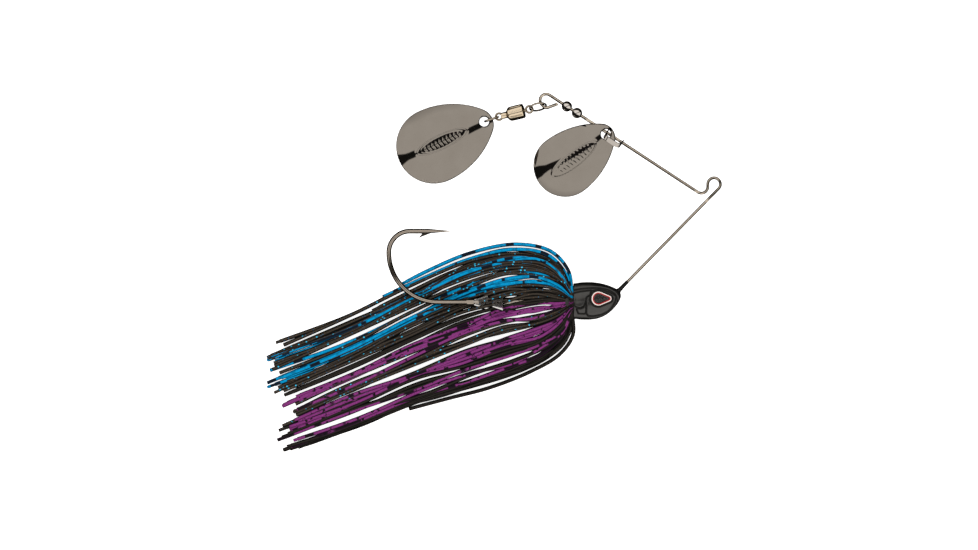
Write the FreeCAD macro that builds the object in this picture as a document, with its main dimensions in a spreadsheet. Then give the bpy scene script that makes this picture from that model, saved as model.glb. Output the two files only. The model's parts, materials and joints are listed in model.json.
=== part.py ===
import FreeCAD, Part
import math
import os
import Sketcher

# A spinnerbait lying on its side, in millimetres. The lure's own plane (hook, wire form) is
# parallel to the ground: +X points to the nose, +Y to the blade arm, +Z away from the ground.
# Points of the layout are measured from the datum, the rear face of the head on the axis of the
# hook shank. The part's origin is the middle of the footprint, on the ground.

V = FreeCAD.Vector
X_AXIS = V(1, 0, 0)
Y_AXIS = V(0, 1, 0)
Z_AXIS = V(0, 0, 1)

DIMENSIONS = {
    # layout
    "footprint_x": -23.45,
    "footprint_y": 7.665,
    "shank_height": 4.9,
    # head casting
    "collar_start": -4.9,
    "collar_diameter": 4.2,
    "collar_length": 5.6,
    "collar_lip_diameter": 5.0,
    "collar_lip_length": 0.9,
    "neck_x": 12.6,
    "neck_y": 2.78,
    "neck_length": 4.6,
    "neck_root_diameter": 1.9,
    "neck_tip_diameter": 1.05,
    # eyes
    "eye_x": 8.3,
    "eye_y": 1.0,
    "eye_floor": 3.75,
    "eye_tilt": 13,
    "eye_width": 4.0,
    "eye_length": 5.9,
    "eye_point_radius": 0.55,
    "foil_thickness": 0.15,
    "dome_height": 0.95,
    "dome_radius": 6.5,
    "socket_depth": 3.0,
    "socket_gap": 0.02,
    # hook
    "hook_wire": 1.42,
    "hook_eye_x": 10.1,
    "hook_eye_radius": 1.5,
    "hook_eye_wire": 1.2,
    "shank_length": 46.8,
    "bend_radius": 14.0,
    "crown_radius": 6.0,
    "crown_link": 0.2,
    "point_straight": 5.0,
    "point_taper": 7.2,
    "point_flat": 0.1,
    "barb_length": 2.6,
    "barb_height": 1.25,
    "barb_width": 0.5,
    "barb_overlap": 0.25,
    # wire form
    "wire_diameter": 0.889,
    "tail_x": 3.6,
    "tail_y": -2.7,
    "tail_length": 3.2,
    "tail_bend": 1.6,
    "leg_length": 48.35,
    "leg_heading": 45.6,
    "tie_bend": 1.8,
    "tie_side": 0.73,
    "back_bend": 1.83,
    "arm_length": 50.5,
    "arm_heading": 146.8,
    "loop_bend": 1.75,
    "loop_side": 0.9,
    "loop_side_heading": 312,
    "loop_corner": 1.0,
    "loop_tail": 3.1,
    "loop_tail_heading": 20,
    # beads and clevis, placed along the arm from its start at the line tie
    "bead_diameter": 3.0,
    "running_gap": 0.05,
    "bead_rear_station": 44.6,
    "bead_front_station": 41.15,
    "clevis_station": 28.4,
    "clevis_spacing": 5.2,
    "clevis_depth": 3.3,
    "clevis_tab": 0.75,
    "clevis_bend": 1.5,
    "clevis_width": 1.4,
    "clevis_thickness": 0.35,
    "clevis_lean": 62,
    # skirt band, strands and trailer keeper
    "band_rear": -2.1,
    "band_width": 1.2,
    "band_inner_diameter": 5.2,
    "band_outer_diameter": 6.4,
    "strand_diameter": 1.0,
    "strand_root": -0.3,
    "strand_root_radius": 2.8,
    "strand_bend_share": 0.9,
    "keeper_x": -15.0,
    "keeper_sleeve": 4.6,
    "keeper_sleeve_diameter": 2.6,
    "keeper_wide_diameter": 6.0,
    "keeper_narrow_diameter": 5.4,
    "keeper_neck_diameter": 2.4,
    "keeper_cone": 4.2,
    "keeper_gap": 0.02,
    # loop ring, swivel and blade ring
    "ring_wire": 0.56,
    "loop_ring_radius": 2.35,
    "loop_ring_offset": 1.38,
    "loop_ring_x": -8.4,
    "loop_ring_y": 55.98,
    "loop_ring_heading": 195.6,
    "loop_ring_slope": 10.5,
    "loop_ring_roll": 24,
    "eye_slack": 0.25,
    "swivel_eye_radius": 0.95,
    "swivel_eye_wire": 0.66,
    "swivel_length": 9.05,
    "swivel_heading": 193.1,
    "swivel_slope": 12,
    "stem_diameter": 0.84,
    "flange_diameter": 2.2,
    "flange_x": 3.05,
    "flange_thickness": 0.5,
    "barrel_x": 1.65,
    "barrel_diameter": 4.2,
    "barrel_length": 4.0,
    "barrel_wall": 0.55,
    "barrel_taper": 1.0,
    "barrel_neck_diameter": 1.9,
    "barrel_neck_end": 8.35,
    "barrel_floor": 5.0,
    "cap_thickness": 0.5,
    "cap_x": 1.7,
    "cap_gap": 0.08,
    "ball_count": 7,
    "ball_diameter": 0.7,
    "ball_circle": 1.9,
    "blade_ring_radius": 2.0,
    "blade_ring_heading": 198.8,
    # blades: lengths are from the centre of the hole
    "blade_thickness": 0.55,
    "blade_hole_diameter": 3.0,
    "large_far_end": 26.6,
    "large_near_end": 2.3,
    "large_nose_radius": 4.7,
    "large_half_width": 10.6,
    "large_widest": 16.0,
    "large_far_bow": 18.0,
    "large_near_bow": 30.0,
    "large_cross_bow": 15.8,
    "large_heading": 205.5,
    "large_slope": 4.7,
    "large_roll": 0,
    "small_far_end": 24.0,
    "small_near_end": 2.05,
    "small_nose_radius": 3.8,
    "small_half_width": 8.8,
    "small_widest": 14.7,
    "small_far_bow": 16.0,
    "small_near_bow": 26.0,
    "small_cross_bow": 13.5,
    "small_heading": 217.5,
    "small_slope": 15.85,
    "small_roll": -4,
    "small_hole_height": 1.55,
    "small_hole_offset": 0.6,
    "bow_slope": 19.0,
    "dish_margin": 0.6,
}

# Head sections from the rear face to the nose: distance from the datum, centre height, half the
# height and half the thickness.
HEAD_SECTIONS = [
    (0.4, 0.25, 4.95, 3.9),
    (2.5, 0.3, 5.3, 4.5),
    (5.5, 0.34, 5.34, 4.75),
    (8.2, 0.47, 4.87, 4.6),
    (10.4, 0.77, 3.98, 3.9),
    (12.2, 1.25, 2.75, 2.7),
    (13.3, 1.62, 1.65, 1.6),
    (13.9, 1.8, 0.5, 0.45),
]

# Locks of the skirt: azimuth of the root round the shank (0 towards the arm, 90 upwards), how far
# the lock flares out before it turns back, and its tip measured from the datum.
LOCKS = {
    "skirt_blue_barred": [
        (11.25, 17.0, (-51.2, 5.2, 3.0)),
        (-11.25, 14.5, (-54.1, 2.3, -2.2)),
        (56.25, 10.0, (-83.5, -17.3, 6.0)),
        (-56.25, 2.2, (-83.1, -24.0, -4.2)),
    ],
    "skirt_black_flake": [
        (33.75, 13.0, (-84.0, -13.4, 5.5)),
        (78.75, 7.5, (-89.5, -20.7, 6.5)),
        (-33.75, 4.7, (-86.5, -21.6, -4.2)),
        (-78.75, 1.4, (-86.0, -27.0, -4.2)),
    ],
    "skirt_purple_barred": [
        (101.25, 7.5, (-84.4, -28.3, 6.5)),
        (146.25, 10.0, (-82.2, -40.1, 4.0)),
        (-101.25, 1.4, (-84.1, -31.0, -4.2)),
        (-168.75, 14.0, (-82.8, -43.9, -3.5)),
    ],
    "skirt_black": [
        (123.75, 7.5, (-84.0, -34.0, 5.5)),
        (168.75, 13.0, (-55.0, -32.0, 2.0)),
        (-123.75, 2.2, (-84.0, -35.0, -4.2)),
        (-146.25, 4.7, (-83.7, -38.5, -4.2)),
    ],
}

doc = FreeCAD.newDocument("spinnerbait")
sheet = doc.addObject("Spreadsheet::Sheet", "sheet")


class Size:
    """A number with the spreadsheet expression that gives it."""

    def __init__(self, value, text):
        self.value = value
        self.text = text

    def joined(self, sign, value, other):
        text = other.text if isinstance(other, Size) else repr(other)
        return Size(value, f"({self.text} {sign} {text})")

    def __add__(self, other):
        return self.joined("+", self.value + plain(other), other)

    def __sub__(self, other):
        return self.joined("-", self.value - plain(other), other)

    def __mul__(self, other):
        return self.joined("*", self.value * plain(other), other)

    def __truediv__(self, other):
        return self.joined("/", self.value / plain(other), other)

    def __neg__(self):
        return Size(-self.value, f"(-{self.text})")


def plain(size):
    return size.value if isinstance(size, Size) else size


def size(alias):
    return Size(DIMENSIONS[alias], f"sheet.{alias}")


def number(alias):
    return float(sheet.get(alias))


def fill_sheet(values):
    for row, (alias, value) in enumerate(values.items(), start=1):
        sheet.set(f"A{row}", alias)
        sheet.set(f"B{row}", str(value))
        sheet.setAlias(f"B{row}", alias)
    doc.recompute()


def bind(thing, name, amount):
    """Sets a property to a size and ties it to the sheet."""
    thing.setExpression(name, amount.text)


def datum_limited(sketch, kind, first, second, amount):
    """A distance along X or Y from the first point to the second, tied to the sheet."""
    if amount.value < 0:
        first, second, amount = second, first, -amount
    index = sketch.addConstraint(Sketcher.Constraint(kind, *first, *second, amount.value))
    sketch.setExpression(f"Constraints[{index}]", amount.text)


def pin_point(sketch, point, x, y):
    """Holds a sketch point at (x, y) from the sketch's origin."""
    origin = (-1, 1)
    for kind, amount, axis in (("DistanceX", x, -2), ("DistanceY", y, -1)):
        if abs(plain(amount)) < 1e-9:
            sketch.addConstraint(Sketcher.Constraint("PointOnObject", *point, axis))
        else:
            datum_limited(sketch, kind, origin, point, amount)


def sized(sketch, kind, geometry, amount, scale=1.0):
    index = sketch.addConstraint(Sketcher.Constraint(kind, geometry, amount.value * scale))
    sketch.setExpression(f"Constraints[{index}]", amount.text)


def new_body(name):
    return doc.addObject("PartDesign::Body", name)


def new_sketch(body, name, role, offset=None):
    """A sketch on one of the body's own origin planes."""
    sketch = body.newObject("Sketcher::SketchObject", name)
    plane = next(f for f in body.Origin.OriginFeatures if f.Role == role)
    sketch.AttachmentSupport = (plane, "")
    sketch.MapMode = "FlatFace"
    if offset is not None:
        sketch.AttachmentOffset = offset
    return sketch


def draw_circle(sketch, radius, x=0.0, y=0.0):
    centre = V(plain(x), plain(y), 0)
    circle = sketch.addGeometry(Part.Circle(centre, Z_AXIS, radius.value))
    pin_point(sketch, (circle, 3), x, y)
    sized(sketch, "Radius", circle, radius)


def draw_polygon(sketch, corners):
    """A closed outline of straight sides through corners given as pairs of sizes."""
    points = [V(plain(x), plain(y), 0) for x, y in corners]
    sides = []
    for start, end in zip(points, points[1:] + points[:1]):
        sides.append(sketch.addGeometry(Part.LineSegment(start, end)))
    for side, after in zip(sides, sides[1:] + sides[:1]):
        sketch.addConstraint(Sketcher.Constraint("Coincident", side, 2, after, 1))
    for side, (x, y) in zip(sides, corners):
        pin_point(sketch, (side, 1), x, y)


def heading_vector(degrees, slope=0.0):
    """Unit vector at a heading in the ground plane, falling by slope degrees."""
    turn = math.radians(degrees)
    fall = math.radians(slope)
    flat = math.cos(fall)
    return V(flat * math.cos(turn), flat * math.sin(turn), -math.sin(fall))


def draw_bent_path(sketch, steps):
    """Draws a bent wire from the sketch's origin and returns its end point and heading.

    steps alternate straight runs (length, heading) and bends (radius, side), where side is 1 for
    a left turn and -1 for a right turn.
    """
    here = V(0, 0, 0)
    last = None
    pending = None
    for step in steps:
        if pending is None and last is not None:
            pending = step
            continue
        length, heading = step
        if pending is not None:
            radius, side = pending
            before = plain(last[1])
            turn = (side * (plain(heading) - before)) % 360
            centre = here + heading_vector(before + side * 90) * radius.value
            first = before - side * 90
            if side > 0:
                angles = (first, first + turn)
            else:
                angles = (first - turn, first)
            start, end = (math.radians(a) for a in angles)
            circle = Part.Circle(centre, Z_AXIS, radius.value)
            arc = sketch.addGeometry(Part.ArcOfCircle(circle, start, end))
            near, far = (1, 2) if side > 0 else (2, 1)
            sketch.addConstraint(Sketcher.Constraint("Tangent", last[0], 2, arc, near))
            sized(sketch, "Radius", arc, radius)
            here = centre + heading_vector(first + side * turn) * radius.value
        run = heading_vector(plain(heading))
        line = sketch.addGeometry(Part.LineSegment(here, here + run * length.value))
        if pending is None:
            sketch.addConstraint(Sketcher.Constraint("Coincident", line, 1, -1, 1))
        else:
            sketch.addConstraint(Sketcher.Constraint("Tangent", arc, far, line, 1))
        if isinstance(heading, Size):
            sized(sketch, "Angle", line, heading, math.pi / 180)
        elif heading % 180 == 0:
            sketch.addConstraint(Sketcher.Constraint("Horizontal", line))
        else:
            sketch.addConstraint(Sketcher.Constraint("Vertical", line))
        sized(sketch, "Distance", line, length)
        here = here + run * length.value
        last = (line, heading)
        pending = None
    return here, plain(last[1])


def add_pipe(body, profile, path):
    pipe = body.newObject("PartDesign::AdditivePipe", f"{body.Name}_pipe")
    pipe.Profile = profile
    pipe.Spine = (path, [])
    return pipe


def frame_placement(origin, x_axis, y_hint):
    """A placement at origin with its X along x_axis and its Y as near y_hint as it can be."""
    z_axis = x_axis.cross(y_hint)
    rotation = FreeCAD.Rotation(x_axis, z_axis.cross(x_axis), z_axis, "XZY")
    return FreeCAD.Placement(origin, rotation)


def local_point(placement, x, y=0.0, z=0.0):
    return placement.multVec(V(x, y, z))


nodes = {}


def keep(label, thing):
    thing.Label = label
    nodes[label] = thing
    return thing


def primitive(kind, name, placement, **sizes):
    thing = doc.addObject(kind, name)
    for prop, amount in sizes.items():
        if isinstance(amount, Size):
            bind(thing, prop, amount)
        else:
            setattr(thing, prop, amount)
    thing.Placement = placement
    return thing


def fused(name, things):
    joined = doc.addObject("Part::MultiFuse", name)
    joined.Shapes = things
    return joined


def cut(name, base, tool):
    rest = doc.addObject("Part::Cut", name)
    rest.Base = base
    rest.Tool = tool
    return rest


fill_sheet(DIMENSIONS)
DATUM = V(-number("footprint_x"), -number("footprint_y"), number("shank_height"))
wire_radius = size("wire_diameter") / 2


# ---------------------------------------------------------------- hook

def make_hook():
    """Long-shank hook with its eye cast inside the head. Its own X runs down the shank."""
    body = new_body("hook")
    radius = size("hook_wire") / 2
    path = new_sketch(body, "hook_path", "XY_Plane")
    end, heading = draw_bent_path(path, [
        (size("shank_length"), 0),
        (size("bend_radius"), -1),
        (size("crown_link"), 270),
        (size("crown_radius"), -1),
        (size("point_straight"), 180),
    ])
    profile = new_sketch(body, "hook_section", "YZ_Plane")
    draw_circle(profile, radius)
    add_pipe(body, profile, path)

    along_point = FreeCAD.Placement(end, FreeCAD.Rotation(Z_AXIS, heading))
    taper = new_sketch(body, "point_outline", "XY_Plane", along_point)
    tip = size("point_taper")
    draw_polygon(taper, [(0, 0), (tip, 0), (tip, size("point_flat") / 2), (0, radius)])
    point = body.newObject("PartDesign::Revolution", "hook_point")
    point.Profile = taper
    point.ReferenceAxis = (taper, ["H_Axis"])
    point.Angle = 360

    barb_sketch = new_sketch(body, "barb_outline", "XY_Plane", along_point)
    inside = -(radius - size("barb_overlap"))
    draw_polygon(barb_sketch, [
        (-size("barb_length") / 2, inside),
        (-size("barb_length"), -size("barb_height") - radius),
        (size("barb_length") / 2, inside),
    ])
    barb = body.newObject("PartDesign::Pad", "hook_barb")
    barb.Profile = barb_sketch
    bind(barb, "Length", size("barb_width"))
    barb.Midplane = True

    eye_centre = -size("hook_eye_radius")
    eye_offset = FreeCAD.Placement(V(eye_centre.value, 0, 0), FreeCAD.Rotation())
    eye_sketch = new_sketch(body, "eye_outline", "XY_Plane", eye_offset)
    draw_circle(eye_sketch, size("hook_eye_wire") / 2, size("hook_eye_radius"))
    eye = body.newObject("PartDesign::Revolution", "hook_eye")
    eye.Profile = eye_sketch
    eye.ReferenceAxis = (eye_sketch, ["V_Axis"])
    eye.Angle = 360

    start = number("hook_eye_x") - number("hook_eye_radius")
    body.Placement = FreeCAD.Placement(DATUM + V(start, 0, 0), FreeCAD.Rotation(Z_AXIS, 180))
    return keep("hook", body)


# ---------------------------------------------------------------- wire form

def make_wire_form():
    """One bent wire: tail in the head, leg, line tie bend, arm and end loop."""
    body = new_body("wire_form")
    path = new_sketch(body, "wire_path", "XY_Plane")
    steps = [
        (size("tail_length"), 0),
        (size("tail_bend"), 1),
        (size("leg_length"), size("leg_heading")),
        (size("tie_bend"), 1),
        (size("tie_side"), 270),
        (size("back_bend"), -1),
        (size("arm_length"), size("arm_heading")),
        (size("loop_bend"), 1),
        (size("loop_side"), size("loop_side_heading")),
        (size("loop_corner"), 1),
        (size("loop_tail"), size("loop_tail_heading")),
    ]
    draw_bent_path(path, steps)
    profile = new_sketch(body, "wire_section", "YZ_Plane")
    draw_circle(profile, wire_radius)
    add_pipe(body, profile, path)
    body.Placement = FreeCAD.Placement(
        DATUM + V(number("tail_x"), number("tail_y"), 0), FreeCAD.Rotation()
    )
    return keep("wire_form", body), path


def arm_start(path):
    """Where the straight arm begins, and its direction."""
    doc.recompute()
    arm = path.Geometry[6]
    placement = nodes["wire_form"].Placement
    start = placement.multVec(arm.StartPoint)
    return start, (placement.multVec(arm.EndPoint) - start).normalize()


# ---------------------------------------------------------------- head and eyes

def eye_frame(side):
    """Frame of an eye: X towards the nose, Z out of the head. side is 1 (upper) or -1."""
    tilt = math.radians(number("eye_tilt"))
    origin = DATUM + V(number("eye_x"), number("eye_y"), side * number("eye_floor"))
    forward = V(math.cos(tilt), 0, -side * math.sin(tilt))
    return frame_placement(origin, forward, Y_AXIS * side)


def teardrop(name, placement, grow=0.0):
    """Closed drop outline, round behind and pointed in front, as a sketch."""
    sketch = doc.addObject("Sketcher::SketchObject", name)
    big = number("eye_width") / 2 + grow
    small = number("eye_point_radius") + grow
    back = big - number("eye_length") / 2 - grow
    front = number("eye_length") / 2 + grow - small
    lean = math.acos((big - small) / (front - back))
    rear_circle = Part.Circle(V(back, 0, 0), Z_AXIS, big)
    tip_circle = Part.Circle(V(front, 0, 0), Z_AXIS, small)
    turn = V(math.cos(lean), math.sin(lean), 0)
    mirrored = V(turn.x, -turn.y, 0)
    rear = sketch.addGeometry(Part.ArcOfCircle(rear_circle, lean, 2 * math.pi - lean))
    tip = sketch.addGeometry(Part.ArcOfCircle(tip_circle, -lean, lean))
    upper = sketch.addGeometry(
        Part.LineSegment(V(front, 0, 0) + turn * small, V(back, 0, 0) + turn * big))
    lower = sketch.addGeometry(
        Part.LineSegment(V(back, 0, 0) + mirrored * big, V(front, 0, 0) + mirrored * small))
    joins = [(tip, 2, upper, 1), (upper, 2, rear, 1), (rear, 2, lower, 1), (lower, 2, tip, 1)]
    for join in joins:
        sketch.addConstraint(Sketcher.Constraint("Tangent", *join))
    half_width = size("eye_width") / 2 + grow
    half_length = size("eye_length") / 2 + grow
    sized(sketch, "Radius", rear, half_width)
    sized(sketch, "Radius", tip, size("eye_point_radius") + grow)
    pin_point(sketch, (rear, 3), half_width - half_length, 0)
    pin_point(sketch, (tip, 3), half_length - grow - size("eye_point_radius"), 0)
    sketch.Placement = placement
    return sketch


def extrusion(name, sketch, length):
    solid = doc.addObject("Part::Extrusion", name)
    solid.Base = sketch
    solid.DirMode = "Normal"
    bind(solid, "LengthFwd", length)
    solid.Solid = True
    return solid


def make_eye(word, side):
    """A printed foil in the socket and a clear dome over it."""
    frame = eye_frame(side)
    foil = extrusion(
        f"eye_foil_{word}", teardrop(f"foil_outline_{word}", frame), size("foil_thickness"))
    keep(f"eye_foil_{word}", foil)
    dome_frame = FreeCAD.Placement(
        local_point(frame, 0, 0, number("foil_thickness")), frame.Rotation)
    blank = extrusion(
        f"dome_blank_{word}", teardrop(f"dome_outline_{word}", dome_frame), size("dome_height"))
    ball_centre = local_point(frame, 0, 0, number("dome_height") - number("dome_radius"))
    ball = primitive(
        "Part::Sphere", f"dome_ball_{word}", FreeCAD.Placement(ball_centre, frame.Rotation),
        Radius=size("dome_radius"))
    dome = doc.addObject("Part::Common", f"eye_dome_{word}")
    dome.Base = blank
    dome.Tool = ball
    keep(f"eye_dome_{word}", dome)
    return extrusion(
        f"socket_{word}",
        teardrop(f"socket_outline_{word}", frame, number("socket_gap")),
        size("socket_depth"))


def make_head(hook, wire_form):
    """Lead head lofted through its sections, with the skirt collar behind and a neck of paint
    where the wire comes out."""
    across = FreeCAD.Rotation(Y_AXIS, Z_AXIS, X_AXIS, "XYZ")
    sections = []
    for index, (x, middle, half_height, half_width) in enumerate(HEAD_SECTIONS, start=1):
        fill = {"MajorRadius": half_height, "MinorRadius": half_width}
        place = FreeCAD.Placement(DATUM + V(x, middle, 0), across)
        sections.append(primitive("Part::Ellipse", f"head_section_{index}", place, **fill))
    shell = doc.addObject("Part::Loft", "head_shell")
    shell.Sections = sections
    shell.Solid = True

    along_x = FreeCAD.Rotation(Z_AXIS, X_AXIS)
    collar_start = DATUM + V(number("collar_start"), 0, 0)
    collar = primitive(
        "Part::Cylinder", "head_collar", FreeCAD.Placement(collar_start, along_x),
        Radius=size("collar_diameter") / 2, Height=size("collar_length"))
    lip = primitive(
        "Part::Cone", "head_collar_lip", FreeCAD.Placement(collar_start, along_x),
        Radius1=size("collar_diameter") / 2, Radius2=size("collar_lip_diameter") / 2,
        Height=size("collar_lip_length"))

    leg = heading_vector(number("leg_heading"))
    exit_point = DATUM + V(number("neck_x"), number("neck_y"), 0)
    neck = primitive(
        "Part::Cone", "head_neck", FreeCAD.Placement(exit_point, FreeCAD.Rotation(Z_AXIS, leg)),
        Radius1=size("neck_root_diameter") / 2, Radius2=size("neck_tip_diameter") / 2,
        Height=size("neck_length"))
    casting = fused("head_casting", [shell, collar, lip, neck])
    sockets = [make_eye("upper", 1), make_eye("lower", -1)]
    cores = fused("head_cores", [hook, wire_form] + sockets)
    return keep("head", cut("head", casting, cores))


# ---------------------------------------------------------------- skirt and keeper

def make_band():
    along_x = FreeCAD.Rotation(Z_AXIS, X_AXIS)
    place = FreeCAD.Placement(DATUM + V(number("band_rear"), 0, 0), along_x)
    outside = primitive(
        "Part::Cylinder", "band_outside", place,
        Radius=size("band_outer_diameter") / 2, Height=size("band_width"))
    inside = primitive(
        "Part::Cylinder", "band_inside", place,
        Radius=size("band_inner_diameter") / 2, Height=size("band_width"))
    return keep("skirt_band", cut("skirt_band", outside, inside))


def make_lock(name, azimuth, flare, tip):
    """One lock of strands: out from the band, round a bend and back to its tip."""
    turn = math.radians(azimuth)
    outward = V(0, math.cos(turn), math.sin(turn))
    root = V(number("strand_root"), 0, 0) + outward * number("strand_root_radius")
    corner = root + outward * flare
    back = V(*tip) - corner
    reach = back.Length
    side = back - outward * back.dot(outward)
    bend_turn = math.degrees(outward.getAngle(back))
    trim = math.tan(math.radians(bend_turn) / 2)
    share = size("strand_bend_share")
    path = doc.addObject("Sketcher::SketchObject", f"{name}_path")
    draw_bent_path(path, [
        (Size(flare * (1 - share.value), f"({flare} * (1 - {share.text}))"), 0),
        (Size(flare * share.value / trim, f"({flare} * {share.text} / {trim})"), 1),
        (
            Size(reach - flare * share.value, f"({reach} - {flare} * {share.text})"),
            Size(bend_turn, f"{bend_turn}"),
        ),
    ])
    place = frame_placement(DATUM + root, outward, side.normalize())
    path.Placement = place
    ring = primitive(
        "Part::Circle", f"{name}_section",
        FreeCAD.Placement(DATUM + root, FreeCAD.Rotation(Z_AXIS, outward)),
        Radius=size("strand_diameter") / 2)
    sweep = doc.addObject("Part::Sweep", name)
    sweep.Sections = [ring]
    sweep.Spine = (path, ["Edge1", "Edge2", "Edge3"])
    sweep.Solid = True
    return sweep


def make_skirt():
    for label, locks in LOCKS.items():
        sweeps = [
            make_lock(f"{label}_{index}", *lock) for index, lock in enumerate(locks, start=1)
        ]
        group = doc.addObject("Part::Compound", label)
        group.Links = sweeps
        keep(label, group)


def make_keeper():
    """Clear sleeve on the shank with two barbed cones that point to the bend."""
    body = new_body("trailer_keeper")
    sketch = new_sketch(body, "keeper_outline", "XY_Plane")
    bore = size("hook_wire") / 2 + size("keeper_gap")
    sleeve = size("keeper_sleeve")
    cone = size("keeper_cone")
    neck = size("keeper_neck_diameter") / 2
    draw_polygon(sketch, [
        (0, bore),
        (0, size("keeper_sleeve_diameter") / 2),
        (sleeve, size("keeper_sleeve_diameter") / 2),
        (sleeve, size("keeper_wide_diameter") / 2),
        (sleeve + cone, neck),
        (sleeve + cone, size("keeper_narrow_diameter") / 2),
        (sleeve + cone * 2, neck),
        (sleeve + cone * 2, bore),
    ])
    turned = body.newObject("PartDesign::Revolution", "keeper_turned")
    turned.Profile = sketch
    turned.ReferenceAxis = (sketch, ["H_Axis"])
    turned.Angle = 360
    body.Placement = FreeCAD.Placement(
        DATUM + V(number("keeper_x"), 0, 0), FreeCAD.Rotation(Z_AXIS, 180))
    return keep("trailer_keeper", body)


# ---------------------------------------------------------------- beads and clevis

def make_bead(label, start, along):
    centre = start + along * number(f"{label}_station")
    place = FreeCAD.Placement(centre, FreeCAD.Rotation(Z_AXIS, along))
    ball = primitive("Part::Sphere", f"{label}_ball", place, Radius=size("bead_diameter") / 2)
    low = FreeCAD.Placement(centre - along * number("bead_diameter") / 2, place.Rotation)
    bore = primitive(
        "Part::Cylinder", f"{label}_bore", low,
        Radius=wire_radius + size("running_gap"), Height=size("bead_diameter"))
    return keep(label, cut(label, ball, bore))


def clevis_frame(start, along):
    """X from the wire towards the belly, Y towards the line tie, at the leg nearer the beads."""
    middle = start + along * number("clevis_station")
    leg = middle + along * (number("clevis_spacing") / 2)
    lean = math.radians(number("clevis_lean"))
    inward = Z_AXIS.cross(along)
    belly = inward * math.cos(lean) + Z_AXIS * math.sin(lean)
    return frame_placement(leg, belly, -along)


def make_clevis(frame):
    """Folded strap, a U whose two legs ride on the wire."""
    body = new_body("clevis")
    tab = size("clevis_tab")
    side = size("clevis_depth") + tab - size("clevis_bend")
    path = new_sketch(body, "clevis_path", "XY_Plane")
    draw_bent_path(path, [
        (side, 0),
        (size("clevis_bend"), 1),
        (size("clevis_spacing") - size("clevis_bend") * 2, 90),
        (size("clevis_bend"), 1),
        (side, 180),
    ])
    strap = new_sketch(body, "clevis_section", "YZ_Plane")
    half_thick = size("clevis_thickness") / 2
    half_wide = size("clevis_width") / 2
    draw_polygon(strap, [
        (-half_thick, -half_wide), (half_thick, -half_wide),
        (half_thick, half_wide), (-half_thick, half_wide),
    ])
    add_pipe(body, strap, path)
    doc.recompute()
    holes = new_sketch(body, "clevis_holes", "XZ_Plane")
    draw_circle(holes, wire_radius + size("running_gap"), tab)
    pocket = body.newObject("PartDesign::Pocket", "clevis_pocket")
    pocket.Profile = holes
    bind(pocket, "Length", size("clevis_spacing") * 4)
    pocket.Midplane = True
    body.Placement = FreeCAD.Placement(local_point(frame, -tab.value), frame.Rotation)
    return keep("clevis", body)


# ---------------------------------------------------------------- blades

def draw_bow(sketch, prefix):
    """Section of the dished sheet along the blade, with the axis of its cross bow on H."""
    half = size("blade_thickness") / 2
    apex_x = size(f"{prefix}_widest")
    apex_y = size(f"{prefix}_cross_bow")
    far_bow = size(f"{prefix}_far_bow")
    near_bow = size(f"{prefix}_near_bow")
    slope = size("bow_slope")
    far_x = size(f"{prefix}_far_end") + size("dish_margin")
    near_x = -(size(f"{prefix}_near_end") + size("dish_margin"))
    far_angle = math.asin((far_x.value - apex_x.value) / far_bow.value)
    fall = math.radians(slope.value)
    apex = V(apex_x.value, apex_y.value, 0)
    far_centre = apex - V(0, far_bow.value, 0)
    near_centre = apex - V(0, near_bow.value, 0)
    back = V(-math.cos(fall), -math.sin(fall), 0)
    normal = V(-math.sin(fall), math.cos(fall), 0)
    run = (near_centre.x - near_bow.value * math.sin(fall) - near_x.value) / math.cos(fall)

    def side(sign):
        grow = sign * half.value
        far_circle = Part.Circle(far_centre, Z_AXIS, far_bow.value + grow)
        near_circle = Part.Circle(near_centre, Z_AXIS, near_bow.value + grow)
        far_arc = sketch.addGeometry(
            Part.ArcOfCircle(far_circle, math.pi / 2 - far_angle, math.pi / 2))
        near_arc = sketch.addGeometry(
            Part.ArcOfCircle(near_circle, math.pi / 2, math.pi / 2 + fall))
        start = near_centre + normal * (near_bow.value + grow)
        line = sketch.addGeometry(Part.LineSegment(start, start + back * run))
        sketch.addConstraint(Sketcher.Constraint("Tangent", far_arc, 2, near_arc, 1))
        sketch.addConstraint(Sketcher.Constraint("Tangent", near_arc, 2, line, 1))
        sketch.addConstraint(Sketcher.Constraint("Vertical", far_arc, 3, near_arc, 3))
        pin_point(sketch, (far_arc, 3), apex_x, apex_y - far_bow)
        sized(sketch, "Radius", far_arc, far_bow + half * sign)
        sized(sketch, "Radius", near_arc, near_bow + half * sign)
        return far_arc, near_arc, line

    outer = side(1)
    inner = side(-1)
    for part, point in ((2, 2), (0, 1)):
        first = sketch.getPoint(outer[part], point)
        second = sketch.getPoint(inner[part], point)
        end = sketch.addGeometry(Part.LineSegment(first, second))
        sketch.addConstraint(Sketcher.Constraint("Coincident", end, 1, outer[part], point))
        sketch.addConstraint(Sketcher.Constraint("Coincident", end, 2, inner[part], point))
    sketch.addConstraint(Sketcher.Constraint("Parallel", outer[2], inner[2]))


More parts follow.
